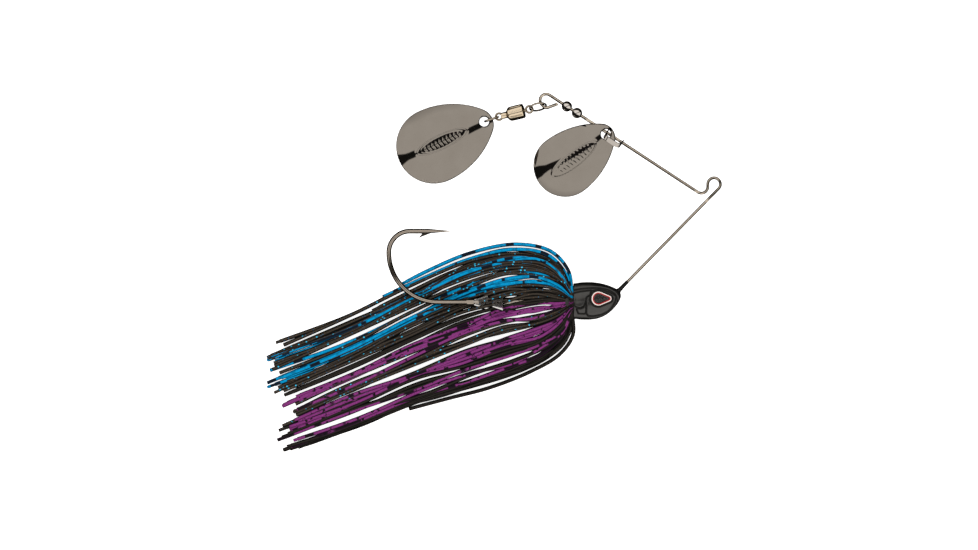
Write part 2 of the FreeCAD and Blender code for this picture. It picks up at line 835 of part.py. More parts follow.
def draw_outline(sketch, prefix):
    """Blade outline: a small round nose at the hole, long bowed sides and a round far end."""
    wide = size(f"{prefix}_half_width")
    nose = size(f"{prefix}_nose_radius")
    nose_x = nose - size(f"{prefix}_near_end")
    widest = size(f"{prefix}_far_end") - wide
    gap = widest.value - nose_x.value
    drop = (gap * gap + wide.value ** 2 - nose.value ** 2) / (2 * (wide.value - nose.value))
    side_centre = V(widest.value, wide.value - drop, 0)
    lean = math.atan2(-side_centre.y, nose_x.value - side_centre.x)
    round_end = sketch.addGeometry(Part.ArcOfCircle(
        Part.Circle(V(widest.value, 0, 0), Z_AXIS, wide.value), -math.pi / 2, math.pi / 2))
    upper = sketch.addGeometry(Part.ArcOfCircle(
        Part.Circle(side_centre, Z_AXIS, drop), math.pi / 2, lean))
    nose_arc = sketch.addGeometry(Part.ArcOfCircle(
        Part.Circle(V(nose_x.value, 0, 0), Z_AXIS, nose.value), lean, 2 * math.pi - lean))
    lower = sketch.addGeometry(Part.ArcOfCircle(
        Part.Circle(V(side_centre.x, -side_centre.y, 0), Z_AXIS, drop),
        2 * math.pi - lean, 1.5 * math.pi))
    chain = [round_end, upper, nose_arc, lower]
    for arc, after in zip(chain, chain[1:] + chain[:1]):
        sketch.addConstraint(Sketcher.Constraint("Tangent", arc, 2, after, 1))
    sized(sketch, "Radius", round_end, wide)
    sized(sketch, "Radius", nose_arc, nose)
    pin_point(sketch, (round_end, 3), widest, 0)
    pin_point(sketch, (nose_arc, 3), nose_x, 0)
    sketch.addConstraint(Sketcher.Constraint("Vertical", round_end, 2, round_end, 3))
    sketch.addConstraint(Sketcher.Constraint("Vertical", round_end, 1, round_end, 3))


def make_blade(label, prefix, hole_centre):
    """Dished blade. Its own origin is the hole's centre, X runs to the far end."""
    body = new_body(label)
    fall = math.radians(number("bow_slope"))
    near_bow = number(f"{prefix}_near_bow")
    slope_start = number(f"{prefix}_widest") - near_bow * math.sin(fall)
    apex_height = near_bow * (1 - math.cos(fall)) + slope_start * math.tan(fall)
    axis_depth = number(f"{prefix}_cross_bow") - apex_height
    offset = FreeCAD.Placement(V(0, -axis_depth, 0), FreeCAD.Rotation())
    bow = new_sketch(body, f"{label}_bow", "XZ_Plane", offset)
    draw_bow(bow, prefix)
    dish = body.newObject("PartDesign::Revolution", f"{label}_dish")
    dish.Profile = bow
    dish.ReferenceAxis = (bow, ["H_Axis"])
    dish.Angle = 120
    dish.Midplane = True
    doc.recompute()

    trim = new_sketch(body, f"{label}_outline", "XY_Plane")
    reach = size(f"{prefix}_far_end") * 2
    draw_polygon(trim, [(-reach, -reach), (reach, -reach), (reach, reach), (-reach, reach)])
    draw_outline(trim, prefix)
    pocket = body.newObject("PartDesign::Pocket", f"{label}_trim")
    pocket.Profile = trim
    bind(pocket, "Length", reach * 2)
    pocket.Midplane = True
    doc.recompute()

    hole_sketch = new_sketch(body, f"{label}_hole_outline", "XY_Plane")
    draw_circle(hole_sketch, size("blade_hole_diameter") / 2)
    hole = body.newObject("PartDesign::Pocket", f"{label}_hole")
    hole.Profile = hole_sketch
    bind(hole, "Length", reach)
    hole.Midplane = True

    heading = heading_vector(number(f"{prefix}_heading"), number(f"{prefix}_slope"))
    level = Z_AXIS.cross(heading).normalize()
    roll = math.radians(number(f"{prefix}_roll"))
    across = level * math.cos(roll) + heading.cross(level) * math.sin(roll)
    body.Placement = frame_placement(hole_centre, heading, across)
    return keep(label, body)


# ---------------------------------------------------------------- rings and swivel

def ring(label, centre, normal, radius):
    place = FreeCAD.Placement(centre, FreeCAD.Rotation(Z_AXIS, normal))
    return keep(label, primitive(
        "Part::Torus", label, place, Radius1=radius, Radius2=size("ring_wire") / 2))


def make_swivel(front, along):
    """Ball bearing swivel: a stem that turns in a barrel. Its own X runs from eye to eye."""
    level = Z_AXIS.cross(along).normalize()
    frame = frame_placement(front, along, level)
    axial = FreeCAD.Placement(front, FreeCAD.Rotation(Z_AXIS, along))
    eye = {"Radius1": size("swivel_eye_radius"), "Radius2": size("swivel_eye_wire") / 2}

    def on_axis(x):
        return FreeCAD.Placement(local_point(frame, x), axial.Rotation)

    stem_start = number("swivel_eye_radius")
    flange_x = number("flange_x")
    pieces = [
        primitive("Part::Torus", "stem_eye", frame, **eye),
        primitive("Part::Cylinder", "stem_shank", on_axis(stem_start),
                  Radius=size("stem_diameter") / 2,
                  Height=size("flange_x") - size("swivel_eye_radius")),
        primitive("Part::Cylinder", "stem_flange", on_axis(flange_x),
                  Radius=size("flange_diameter") / 2, Height=size("flange_thickness")),
    ]
    keep("swivel_stem", fused("swivel_stem", pieces))

    body = new_body("swivel_barrel_blank")
    outline = new_sketch(body, "barrel_outline", "XY_Plane")
    outside = size("barrel_diameter") / 2
    inside = outside - size("barrel_wall")
    front_x = size("barrel_x")
    back_x = front_x + size("barrel_length")
    neck = size("barrel_neck_diameter") / 2
    draw_polygon(outline, [
        (front_x, inside),
        (front_x, outside),
        (back_x, outside),
        (back_x + size("barrel_taper"), neck),
        (size("barrel_neck_end"), neck),
        (size("barrel_neck_end"), 0),
        (size("barrel_floor"), 0),
        (size("barrel_floor"), inside),
    ])
    turned = body.newObject("PartDesign::Revolution", "barrel_turned")
    turned.Profile = outline
    turned.ReferenceAxis = (outline, ["H_Axis"])
    turned.Angle = 360
    body.Placement = frame
    rear = FreeCAD.Placement(local_point(frame, number("swivel_length")), frame.Rotation)
    slot = primitive(
        "Part::Torus", "barrel_slot", rear,
        Radius1=size("swivel_eye_radius"),
        Radius2=size("swivel_eye_wire") / 2 + size("keeper_gap"))
    keep("swivel_barrel", cut("swivel_barrel", body, slot))
    keep("swivel_rear_eye", primitive("Part::Torus", "swivel_rear_eye", rear, **eye))

    cap_x = number("cap_x")
    disc = primitive(
        "Part::Cylinder", "cap_disc", on_axis(cap_x),
        Radius=size("barrel_diameter") / 2 - size("barrel_wall"), Height=size("cap_thickness"))
    hole = primitive(
        "Part::Cylinder", "cap_hole", on_axis(cap_x),
        Radius=size("stem_diameter") / 2 + size("cap_gap"), Height=size("cap_thickness"))
    keep("swivel_cap", cut("swivel_cap", disc, hole))

    count = round(number("ball_count"))
    ball_x = (cap_x + number("cap_thickness") + flange_x) / 2
    balls = []
    for index in range(count):
        turn = 2 * math.pi * index / count
        circle = number("ball_circle") / 2
        spot = local_point(frame, ball_x, circle * math.cos(turn), circle * math.sin(turn))
        balls.append(primitive(
            "Part::Sphere", f"ball_{index + 1}", FreeCAD.Placement(spot, frame.Rotation),
            Radius=size("ball_diameter") / 2))
    group = doc.addObject("Part::Compound", "swivel_balls")
    group.Links = balls
    keep("swivel_balls", group)
    return frame


# ---------------------------------------------------------------- the assembly

def build():
    hook = make_hook()
    wire_form, wire_path = make_wire_form()
    start, along = arm_start(wire_path)
    make_head(hook, wire_form)
    make_band()
    make_skirt()
    make_keeper()
    make_bead("bead_rear", start, along)
    make_bead("bead_front", start, along)
    frame = clevis_frame(start, along)
    make_clevis(frame)

    small_hole = frame.Base + Z_AXIS.cross(along) * number("small_hole_offset")
    small_hole = small_hole + Z_AXIS * number("small_hole_height")
    make_blade("blade_small", "small", small_hole)

    hang = heading_vector(number("loop_ring_heading"), number("loop_ring_slope"))
    hook_point = DATUM + V(number("loop_ring_x"), number("loop_ring_y"), 0)
    ring_centre = hook_point + hang * number("loop_ring_offset")
    level = Z_AXIS.cross(hang).normalize()
    roll = math.radians(number("loop_ring_roll"))
    ring_normal = level * math.cos(roll) + hang.cross(level) * math.sin(roll)
    ring("loop_ring", ring_centre, ring_normal, size("loop_ring_radius"))

    slack = number("eye_slack")
    front_eye = ring_centre + hang * (number("loop_ring_radius") + slack)
    swivel_along = heading_vector(number("swivel_heading"), number("swivel_slope"))
    make_swivel(front_eye, swivel_along)

    rear_eye = front_eye + swivel_along * number("swivel_length")
    pull = heading_vector(number("blade_ring_heading"))
    blade_ring_centre = rear_eye + pull * (number("blade_ring_radius") + slack)
    ring("blade_ring", blade_ring_centre, Z_AXIS.cross(pull), size("blade_ring_radius"))

    large_hole = blade_ring_centre + pull * (number("blade_ring_radius") + slack)
    make_blade("blade_large", "large", large_hole)


def check_document():
    doc.recompute()
    for thing in doc.Objects:
        if "Invalid" in thing.State or "Error" in thing.State:
            raise RuntimeError(f"{thing.Name} failed: {thing.State}")
    for label, thing in nodes.items():
        if thing.Shape.isNull() or not thing.Shape.isValid():
            raise RuntimeError(f"{label} has no valid shape")


def write_parts():
    os.makedirs("parts", exist_ok=True)
    for label, thing in nodes.items():
        thing.Shape.exportStep(f"parts/{label}.step")
        box = thing.Shape.BoundBox
        print(
            f"{label}: {len(thing.Shape.Solids)} solids, {thing.Shape.Volume:.2f} mm3,"
            f" x {box.XMin:.2f} {box.XMax:.2f} y {box.YMin:.2f} {box.YMax:.2f}"
            f" z {box.ZMin:.2f} {box.ZMax:.2f}"
        )


build()
check_document()
write_parts()
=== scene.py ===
import bpy
import json
import math
import random
from mathutils import Matrix, Vector, geometry

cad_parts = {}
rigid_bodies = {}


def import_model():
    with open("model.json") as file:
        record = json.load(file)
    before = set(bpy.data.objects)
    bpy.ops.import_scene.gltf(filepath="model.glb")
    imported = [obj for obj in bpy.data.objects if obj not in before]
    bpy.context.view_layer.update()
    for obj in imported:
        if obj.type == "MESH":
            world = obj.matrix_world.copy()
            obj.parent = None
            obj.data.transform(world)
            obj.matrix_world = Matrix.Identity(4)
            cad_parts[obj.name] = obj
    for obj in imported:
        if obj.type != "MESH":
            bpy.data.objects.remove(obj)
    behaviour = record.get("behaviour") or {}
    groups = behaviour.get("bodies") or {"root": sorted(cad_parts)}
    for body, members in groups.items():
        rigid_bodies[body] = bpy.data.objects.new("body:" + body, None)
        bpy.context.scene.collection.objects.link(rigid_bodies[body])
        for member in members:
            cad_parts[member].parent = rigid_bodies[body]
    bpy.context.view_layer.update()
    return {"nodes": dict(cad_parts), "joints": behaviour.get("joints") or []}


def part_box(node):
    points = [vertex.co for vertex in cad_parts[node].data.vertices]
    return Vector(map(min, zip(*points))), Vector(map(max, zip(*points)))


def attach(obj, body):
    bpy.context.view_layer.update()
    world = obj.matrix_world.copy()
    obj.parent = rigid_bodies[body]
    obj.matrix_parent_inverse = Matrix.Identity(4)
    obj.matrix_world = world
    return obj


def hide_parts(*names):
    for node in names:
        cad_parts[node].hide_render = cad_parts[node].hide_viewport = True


# A spinnerbait lying on its side on a pale floor. Lengths in this script are millimetres, and
# become metres where a mesh is made. "Layout" positions are measured from the rear face of the
# head on the hook shank, as in the CAD part, with z from the floor.

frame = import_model()

MM = 0.001
BAND_LO, BAND_HI = (Vector(c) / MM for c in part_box("skirt_band"))
BAND_REAR = -2.1
DATUM = Vector((BAND_LO.x - BAND_REAR, (BAND_LO.y + BAND_HI.y) / 2, 0))
PLANE = (BAND_LO.z + BAND_HI.z) / 2          # height of the lure's own plane
JOINTS = {joint["name"]: joint for joint in frame["joints"]}


def layout(x, y, z):
    """A layout position in the frame, in millimetres."""
    return Vector((DATUM.x + x, DATUM.y + y, z))


# ---- materials

def socket(shader, name, value):
    shader.inputs[name].default_value = value


def new_material(name, color, **values):
    """A Principled material with constants on its own sockets."""
    made = bpy.data.materials.new(name)
    made.use_nodes = True
    shader = made.node_tree.nodes["Principled BSDF"]
    socket(shader, "Base Color", (*color, 1))
    for key, value in values.items():
        socket(shader, key.replace("_", " "), value)
    return made, made.node_tree, shader


def node(tree, kind, **props):
    made = tree.nodes.new(kind)
    for key, value in props.items():
        setattr(made, key, value)
    return made


def link(tree, start, end):
    tree.links.new(start, end)


def math_node(tree, operation, first, second=None, third=None):
    made = node(tree, "ShaderNodeMath", operation=operation)
    for index, value in enumerate((first, second, third)):
        if value is None:
            continue
        if isinstance(value, (int, float)):
            made.inputs[index].default_value = value
        else:
            link(tree, value, made.inputs[index])
    return made.outputs[0]


def object_coords(tree, scale):
    """Object coordinates times scale, so 1 unit is 1/scale metres."""
    coords = node(tree, "ShaderNodeTexCoord")
    mapping = node(tree, "ShaderNodeMapping")
    mapping.inputs["Scale"].default_value = scale if isinstance(scale, tuple) else (scale,) * 3
    link(tree, coords.outputs["Object"], mapping.inputs["Vector"])
    return mapping.outputs["Vector"]


def noise_tex(tree, vector, scale, detail=2.0, roughness=0.5):
    made = node(tree, "ShaderNodeTexNoise")
    made.inputs["Scale"].default_value = scale
    made.inputs["Detail"].default_value = detail
    made.inputs["Roughness"].default_value = roughness
    link(tree, vector, made.inputs["Vector"])
    return made.outputs["Fac"]


def read_map(tree, name):
    """The named map of a mesh, and its two numbers as X and Y."""
    coords = node(tree, "ShaderNodeUVMap", uv_map=name)
    parts = node(tree, "ShaderNodeSeparateXYZ")
    link(tree, coords.outputs["UV"], parts.inputs["Vector"])
    return coords.outputs["UV"], parts.outputs


def ramp(tree, factor, stops):
    made = node(tree, "ShaderNodeValToRGB")
    elements = made.color_ramp.elements
    while len(elements) < len(stops):
        elements.new(0.5)
    for element, (position, color) in zip(elements, stops):
        element.position = position
        element.color = (*color, 1) if isinstance(color, tuple) else (color,) * 3 + (1,)
    link(tree, factor, made.inputs["Fac"])
    return made.outputs["Color"]


def mix_color(tree, factor, first, second, blend="MIX"):
    made = node(tree, "ShaderNodeMix", data_type="RGBA", blend_type=blend)
    slots = {"A": made.inputs[6], "B": made.inputs[7]}
    if isinstance(factor, (int, float)):
        made.inputs[0].default_value = factor
    else:
        link(tree, factor, made.inputs[0])
    for key, value in (("A", first), ("B", second)):
        if isinstance(value, tuple):
            slots[key].default_value = (*value, 1)
        else:
            link(tree, value, slots[key])
    return made.outputs[2]


def add_bump(tree, shader, height, strength, distance):
    bump = node(tree, "ShaderNodeBump")
    bump.inputs["Strength"].default_value = strength
    bump.inputs["Distance"].default_value = distance
    link(tree, height, bump.inputs["Height"])
    link(tree, bump.outputs["Normal"], shader.inputs["Normal"])


def metal(name, color, stain, roughness, edge, streak=(900, 900, 900), bump=0.12, brink=False):
    """Plated metal: faint stains, varying polish and fine drawing marks. With brink, painted shade
    darkens its colour to near black where the map of that name says that the edge of the sheet is."""
    made, tree, shader = new_material(name, color, Metallic=1.0)
    socket(shader, "Specular Tint", (*edge, 1))
    vector = object_coords(tree, streak)
    fine = noise_tex(tree, vector, 1.0, 3.0, 0.6)
    broad = noise_tex(tree, object_coords(tree, 160.0), 1.0, 3.0, 0.55)
    shade = ramp(tree, broad, [(0.3, color), (0.75, stain)])
    # painted shade: the sheet's rim is coloured near black, standing in for the dark edge that light and
    # reflection give it
    if brink:
        _, at_brink = read_map(tree, "brink")
        painted_rim_shade = ramp(tree, at_brink["X"], [(0.45, 0.0), (0.8, 1.0)])
        shade = mix_color(tree, painted_rim_shade, shade, (0.012, 0.011, 0.01))
    link(tree, shade, shader.inputs["Base Color"])
    rough = ramp(tree, fine, [(0.3, roughness * 0.7), (0.75, roughness * 1.35)])
    link(tree, rough, shader.inputs["Roughness"])
    add_bump(tree, shader, fine, bump, 0.00002)
    return made


DARK_EDGE = (0.22, 0.2, 0.18)
MATS = {
    "hook": metal("hook_dark_nickel", (0.46, 0.405, 0.35), (0.38, 0.335, 0.29), 0.14, (0.1, 0.1, 0.1),
                  (500, 2500, 2500)),
    "wire": metal("wire_stainless", (0.78, 0.69, 0.58), (0.64, 0.56, 0.47), 0.12, (0.12, 0.11, 0.1),
                  (700, 700, 3000)),
    "bead": metal("bead_plate", (0.74, 0.71, 0.68), (0.66, 0.63, 0.6), 0.06, DARK_EDGE, bump=0.05),
    "clevis": metal("clevis_plate", (0.6, 0.57, 0.54), (0.5, 0.47, 0.44), 0.08, DARK_EDGE, bump=0.06),
    "ring": metal("ring_steel", (0.46, 0.4, 0.32), (0.36, 0.31, 0.25), 0.14, (0.1, 0.09, 0.08)),
    "swivel": metal("swivel_champagne", (0.88, 0.75, 0.57), (0.8, 0.67, 0.49), 0.14, DARK_EDGE,
                    bump=0.08),
    # brink=True paints shade on the blade's rim
    "blade": metal("blade_black_nickel", (0.305, 0.282, 0.255), (0.28, 0.257, 0.23), 0.055, DARK_EDGE,
                   bump=0.03, brink=True),
    "ball": metal("bearing_steel", (0.7, 0.7, 0.7), (0.6, 0.6, 0.6), 0.08, DARK_EDGE, bump=0.04),
}


def gloss_paint(name, gloss):
    """Black paint with fine specks. It is dull where the recess map says that a groove is."""
    made, tree, shader = new_material(name, (0.006, 0.006, 0.0055), Roughness=0.3,
                                      Specular_IOR_Level=0.5 * gloss, Coat_Weight=gloss,
                                      Coat_Roughness=0.2)
    vector = object_coords(tree, 1000.0)
    speck = node(tree, "ShaderNodeTexVoronoi", feature="F1")
    speck.inputs["Scale"].default_value = 5.5
    link(tree, vector, speck.inputs["Vector"])
    dots = ramp(tree, speck.outputs["Distance"], [(0.05, 0.075), (0.11, 0.0)])
    tone = noise_tex(tree, vector, 0.5, 3.0)
    body = ramp(tree, tone, [(0.35, (0.0045, 0.0045, 0.0042)), (0.7, (0.009, 0.0088, 0.008))])
    color = mix_color(tree, 1.0, body, dots, "ADD")
    link(tree, color, shader.inputs["Base Color"])
    _, recess = read_map(tree, "recess")
    link(tree, ramp(tree, recess["X"], [(0.1, 0.3), (0.6, 0.95)]), shader.inputs["Roughness"])
    link(tree, ramp(tree, recess["X"], [(0.1, gloss), (0.5, 0.0)]), shader.inputs["Coat Weight"])
    peel = noise_tex(tree, vector, 1.3, 2.0)
    add_bump(tree, shader, peel, 0.1, 0.00003)
    return made


def strand_material(name, face, edge, pattern, painted_shade_start, painted_shade_end):
    """Silicone, darkened towards the strand's edges by painted shade. The strand's map is in
    millimetres: along it, and across it from its middle.
    """
    made, tree, shader = new_material(name, face, Roughness=0.5, Specular_IOR_Level=0.05)
    uv, parts = read_map(tree, "strand")
    _, across = read_map(tree, "edge")
    off_centre = math_node(tree, "ABSOLUTE", across["X"])
    # painted shade: the strand's colour turns to the edge colour towards its sides
    rim = ramp(tree, off_centre, [(painted_shade_start, 0.0), (painted_shade_end, 1.0)])
    color = pattern(tree, uv, parts, face)
    color = mix_color(tree, rim, color, edge)
    link(tree, color, shader.inputs["Base Color"])
    grain = noise_tex(tree, uv, 3.2, 3.0, 0.6)
    add_bump(tree, shader, grain, 0.25, 0.00004)
    return made


def speckled(tree, uv, face):
    """Fine dark and light specks moulded in the silicone."""
    grain = noise_tex(tree, uv, 2.6, 4.0, 0.7)
    low = tuple(c * 0.72 for c in face)
    high = tuple(c * 1.3 for c in face)
    return ramp(tree, grain, [(0.35, low), (0.68, high)])


def dots(tree, uv, per_mm, radius, share, seed):
    """A mask of round specks: one cell in every share-th holds a speck."""
    shift = node(tree, "ShaderNodeMapping")
    shift.inputs["Location"].default_value = (seed, seed * 0.37, 0)
    link(tree, uv, shift.inputs["Vector"])
    cells = node(tree, "ShaderNodeTexVoronoi", feature="F1", voronoi_dimensions="2D")
    cells.inputs["Scale"].default_value = per_mm
    cells.inputs["Randomness"].default_value = 0.85
    link(tree, shift.outputs["Vector"], cells.inputs["Vector"])
    inside = math_node(tree, "LESS_THAN", cells.outputs["Distance"], radius)
    pick = node(tree, "ShaderNodeSeparateXYZ")
    link(tree, cells.outputs["Color"], pick.inputs["Vector"])
    chosen = math_node(tree, "LESS_THAN", pick.outputs["X"], share)
    return math_node(tree, "MULTIPLY", inside, chosen)


def flake_pattern(tree, uv, parts, face):
    base = speckled(tree, uv, face)
    bright = dots(tree, uv, 0.9, 0.21, 0.15, 3.0)
    small = dots(tree, uv, 1.6, 0.22, 0.12, 17.0)
    amber = dots(tree, uv, 1.8, 0.22, 0.16, 41.0)
    color = mix_color(tree, amber, base, (0.12, 0.07, 0.04))
    color = mix_color(tree, small, color, (0.03, 0.12, 0.24))
    return mix_color(tree, bright, color, (0.04, 0.5, 0.8))


def bar_mask(tree, parts, scale, low, high, seed):
    """Black bars across the strand, of uneven length and spacing."""
    along = math_node(tree, "ADD", parts["X"], seed)
    row = math_node(tree, "SNAP", parts["Y"], STRAND_LANE / 2)
    combined = node(tree, "ShaderNodeCombineXYZ")
    link(tree, along, combined.inputs["X"])
    link(tree, row, combined.inputs["Y"])
    value = noise_tex(tree, combined.outputs["Vector"], scale, 1.0, 0.4)
    return ramp(tree, value, [(low, 0.0), (high, 1.0)])


def blue_pattern(tree, uv, parts, face):
    base = speckled(tree, uv, face)
    bars = bar_mask(tree, parts, 0.2, 0.59, 0.605, 11.0)
    faint = bar_mask(tree, parts, 0.5, 0.5, 0.62, 71.0)
    color = mix_color(tree, math_node(tree, "MULTIPLY", faint, 0.45), base, (0.0, 0.07, 0.16))
    return mix_color(tree, bars, color, (0.006, 0.008, 0.014))


def purple_pattern(tree, uv, parts, face):
    base = speckled(tree, uv, face)
    blotch = noise_tex(tree, uv, 0.62, 2.0, 0.5)
    marks = ramp(tree, blotch, [(0.595, 0.0), (0.61, 1.0)])
    bars = bar_mask(tree, parts, 0.12, 0.6, 0.615, 29.0)
    both = math_node(tree, "MAXIMUM", marks, bars)
    return mix_color(tree, both, base, (0.008, 0.006, 0.008))


def plain_pattern(tree, uv, parts, face):
    base = speckled(tree, uv, face)
    amber = dots(tree, uv, 1.2, 0.16, 0.08, 53.0)
    return mix_color(tree, amber, base, (0.05, 0.035, 0.03))


# near-black painted shade for the edges of the flake and black strands
STRAND_EDGE_SHADE = (0.0012, 0.0011, 0.001)
STRAND_LANE = 8.0                            # spacing of the strands in their shared map
# Each strand colour: its face colour, the painted shade at its edges, its pattern, and where that shade
# starts and is full across the strand.
STRAND_MATS = {
    "blue": strand_material("strand_blue_barred", (0.0, 0.29, 0.6), (0.0, 0.06, 0.14), blue_pattern,
                            0.6, 0.85),
    "flake": strand_material("strand_brown_flake", (0.042, 0.035, 0.028), STRAND_EDGE_SHADE, flake_pattern,
                             0.4, 0.66),
    "purple": strand_material("strand_purple_barred", (0.21, 0.035, 0.185), (0.035, 0.004, 0.035),
                              purple_pattern, 0.6, 0.85),
    "black": strand_material("strand_black", (0.02, 0.0175, 0.015), STRAND_EDGE_SHADE, plain_pattern,
                             0.4, 0.66),
}


def rubber():
    made, tree, shader = new_material("band_rubber", (0.01, 0.01, 0.01), Roughness=0.6)
    grain = noise_tex(tree, object_coords(tree, 1000.0), 4.0, 4.0)
    link(tree, ramp(tree, grain, [(0.3, 0.007), (0.7, 0.016)]), shader.inputs["Base Color"])
    add_bump(tree, shader, grain, 0.3, 0.00004)
    return made


def clear_plastic():
    made, tree, shader = new_material("keeper_clear", (0.93, 0.93, 0.93), Roughness=0.06, IOR=1.46,
                                      Transmission_Weight=1.0)
    flow = noise_tex(tree, object_coords(tree, (250.0, 900.0, 900.0)), 1.0, 3.0)
    link(tree, ramp(tree, flow, [(0.3, 0.02), (0.75, 0.07)]), shader.inputs["Roughness"])
    add_bump(tree, shader, flow, 0.03, 0.00003)
    return made


def eye_resin():
    made, tree, shader = new_material("eye_clear_resin", (1, 1, 1), Roughness=0.02, IOR=1.3,
                                      Transmission_Weight=1.0)
    swirl = noise_tex(tree, object_coords(tree, 700.0), 1.0, 2.0)
    add_bump(tree, shader, swirl, 0.04, 0.00003)
    return made


def eye_print():
    """Printed rings. The map's first number is the distance from the rim, in millimetres."""
    made, tree, shader = new_material("eye_print", (0.8, 0.1, 0.1), Roughness=0.3,
                                      Specular_IOR_Level=0.08)
    uv, parts = read_map(tree, "print")
    wobble = noise_tex(tree, uv, 6.0, 2.0)
    inset = math_node(tree, "ADD", parts["X"], math_node(tree, "MULTIPLY", wobble, 0.06))
    rings = ramp(tree, inset, [
        (0.0, (1.0, 0.93, 0.9)), (0.32, (0.97, 0.8, 0.77)), (0.36, (0.42, 0.001, 0.006)),
        (0.62, (0.28, 0.001, 0.004)), (0.68, (0.003, 0.003, 0.003))])
    foil = noise_tex(tree, uv, 9.0, 2.0, 0.6)
    glint = ramp(tree, foil, [(0.54, 0.0), (0.7, 0.025)])
    link(tree, mix_color(tree, 1.0, rings, glint, "ADD"), shader.inputs["Base Color"])
    add_bump(tree, shader, foil, 0.1, 0.00003)
    return made


MATS["paint"] = gloss_paint("head_black_paint", 1.0)
MATS["thin_paint"] = gloss_paint("head_thin_paint", 0.25)
MATS["rubber"] = rubber()
MATS["keeper"] = clear_plastic()
MATS["resin"] = eye_resin()
MATS["print"] = eye_print()


# ---- mesh helpers

def make_mesh(name, points, faces, maps=None, smooth=True):
    """A mesh from points in millimetres. maps holds one (u, v) per point for each named map."""
    data = bpy.data.meshes.new(name)
    data.from_pydata([tuple(Vector(p) * MM) for p in points], [], faces)
    data.polygons.foreach_set("use_smooth", [smooth] * len(data.polygons))
    for map_name, values in (maps or {}).items():
        layer = data.uv_layers.new(name=map_name)
        corners = []
        for loop in data.loops:
            corners.extend(values[loop.vertex_index])
        layer.data.foreach_set("uv", corners)
    data.update()
    made = bpy.data.objects.new(name, data)
    bpy.context.collection.objects.link(made)
    return made


def dress(piece, material, body, *nodes, slot=None):
    piece.data.materials.clear()
    piece.data.materials.append(material)
    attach(piece, body)
    if nodes:
        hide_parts(*nodes)
    return piece


def smooth_path(knots, step):
    """Points about step apart on a centripetal spline through the knots."""
    pts = [Vector(k) for k in knots]
    pts = [pts[0] * 2 - pts[1]] + pts + [pts[-1] * 2 - pts[-2]]
    out = []
    for p0, p1, p2, p3 in zip(pts, pts[1:], pts[2:], pts[3:]):
        t0 = 0.0
        t1 = t0 + max((p1 - p0).length, 1e-6) ** 0.5
        t2 = t1 + max((p2 - p1).length, 1e-6) ** 0.5
        t3 = t2 + max((p3 - p2).length, 1e-6) ** 0.5
        count = max(2, round((p2 - p1).length / step))
        for index in range(count):
            t = t1 + (t2 - t1) * index / count
            a1 = p0 * ((t1 - t) / (t1 - t0)) + p1 * ((t - t0) / (t1 - t0))
            a2 = p1 * ((t2 - t) / (t2 - t1)) + p2 * ((t - t1) / (t2 - t1))
            a3 = p2 * ((t3 - t) / (t3 - t2)) + p3 * ((t - t2) / (t3 - t2))
            b1 = a1 * ((t2 - t) / (t2 - t0)) + a2 * ((t - t0) / (t2 - t0))
            b2 = a2 * ((t3 - t) / (t3 - t1)) + a3 * ((t - t1) / (t3 - t1))
            out.append(b1 * ((t2 - t) / (t2 - t1)) + b2 * ((t - t1) / (t2 - t1)))
    out.append(pts[-2])
    return out


def tangents(path):
    out = []
    for index in range(len(path)):
        ahead = path[min(index + 1, len(path) - 1)]
        behind = path[max(index - 1, 0)]
        out.append((ahead - behind).normalized())
    return out


def band_faces(rows, sides, start=0):
    """Faces between rows of sides points each, closed round."""
    faces = []
    for i in range(rows - 1):
        for k in range(sides):
            a, b = start + i * sides + k, start + i * sides + (k + 1) % sides
            faces.append((a, b, b + sides, a + sides))
    return faces


def end_faces(rows, sides, start=0):
    last = start + (rows - 1) * sides
    return [tuple(reversed(range(start, start + sides))), tuple(range(last, last + sides))]


def off_line(x, y, line):
    """Distance from an open line."""
    best = 1e9
    for (ax, ay), (bx, by) in zip(line, line[1:]):
        ux, uy = bx - ax, by - ay
        t = max(0.0, min(1.0, ((x - ax) * ux + (y - ay) * uy) / (ux * ux + uy * uy)))
        best = min(best, math.hypot(x - ax - t * ux, y - ay - t * uy))
    return best


def tube(path, radii, sides):
    """Points and faces of a round tube with closed ends, by parallel transport."""
    across = None
    points = []
    for point, along, radius in zip(path, tangents(path), radii):
        if across is None:
            across = along.orthogonal().normalized()
        across = (across - along * across.dot(along)).normalized()
        other = along.cross(across)
        for k in range(sides):
            turn = 2 * math.pi * k / sides
            points.append(point + (across * math.cos(turn) + other * math.sin(turn)) * radius)
    return points, band_faces(len(path), sides) + end_faces(len(path), sides)


def turned(profile, sides, flute=None):
    """Points and faces of a turned shape: profile is (x, radius) pairs round the X axis."""
    points = []
    for x, radius in profile:
        for k in range(sides):
            turn = 2 * math.pi * k / sides
            r = flute(x, turn, radius) if flute else radius
            points.append(Vector((x, r * math.cos(turn), r * math.sin(turn))))
    faces = [(a, d, c, b) for a, b, c, d in band_faces(len(profile), sides)]
    return points, faces


# ---- skirt strands

# The skirt is a fan. These runs, given in layout millimetres, lead from the band to the tips: the first
# along the top edge of the fan, the last along its bottom edge. A strand of the fan follows two of them
# in shares, and strays from that by DRIFT and WANDER.
GUIDES = [
    [(0, 2.6), (-3.5, 10), (-9, 14), (-18, 15), (-30, 12), (-45, 5), (-63, -4), (-87, -13)],
    [(0, 1.6), (-4, 5.5), (-10, 8), (-19, 7.5), (-31, 4), (-46, -3), (-64, -12), (-88, -22)],
    [(0, 0), (-4.5, 0), (-11, -0.5), (-20, -2), (-32, -6), (-46, -12), (-63, -20), (-84, -29)],
    [(0, -1.6), (-4, -6), (-10, -9.5), (-19, -12), (-31, -16), (-45, -21), (-62, -28), (-84, -37)],
    [(0, -2.6), (-1.5, -11), (-7, -17), (-16, -21), (-28, -25), (-42, -29), (-60, -36), (-83, -44)],
]
# The colours across the fan from its top edge, with the number of strands of each.
FAN = [("flake", 5), ("blue", 3), ("flake", 6), ("blue", 5), ("flake", 8), ("black", 3), ("purple", 5),
       ("flake", 6), ("purple", 5), ("black", 4), ("purple", 3), ("black", 6)]
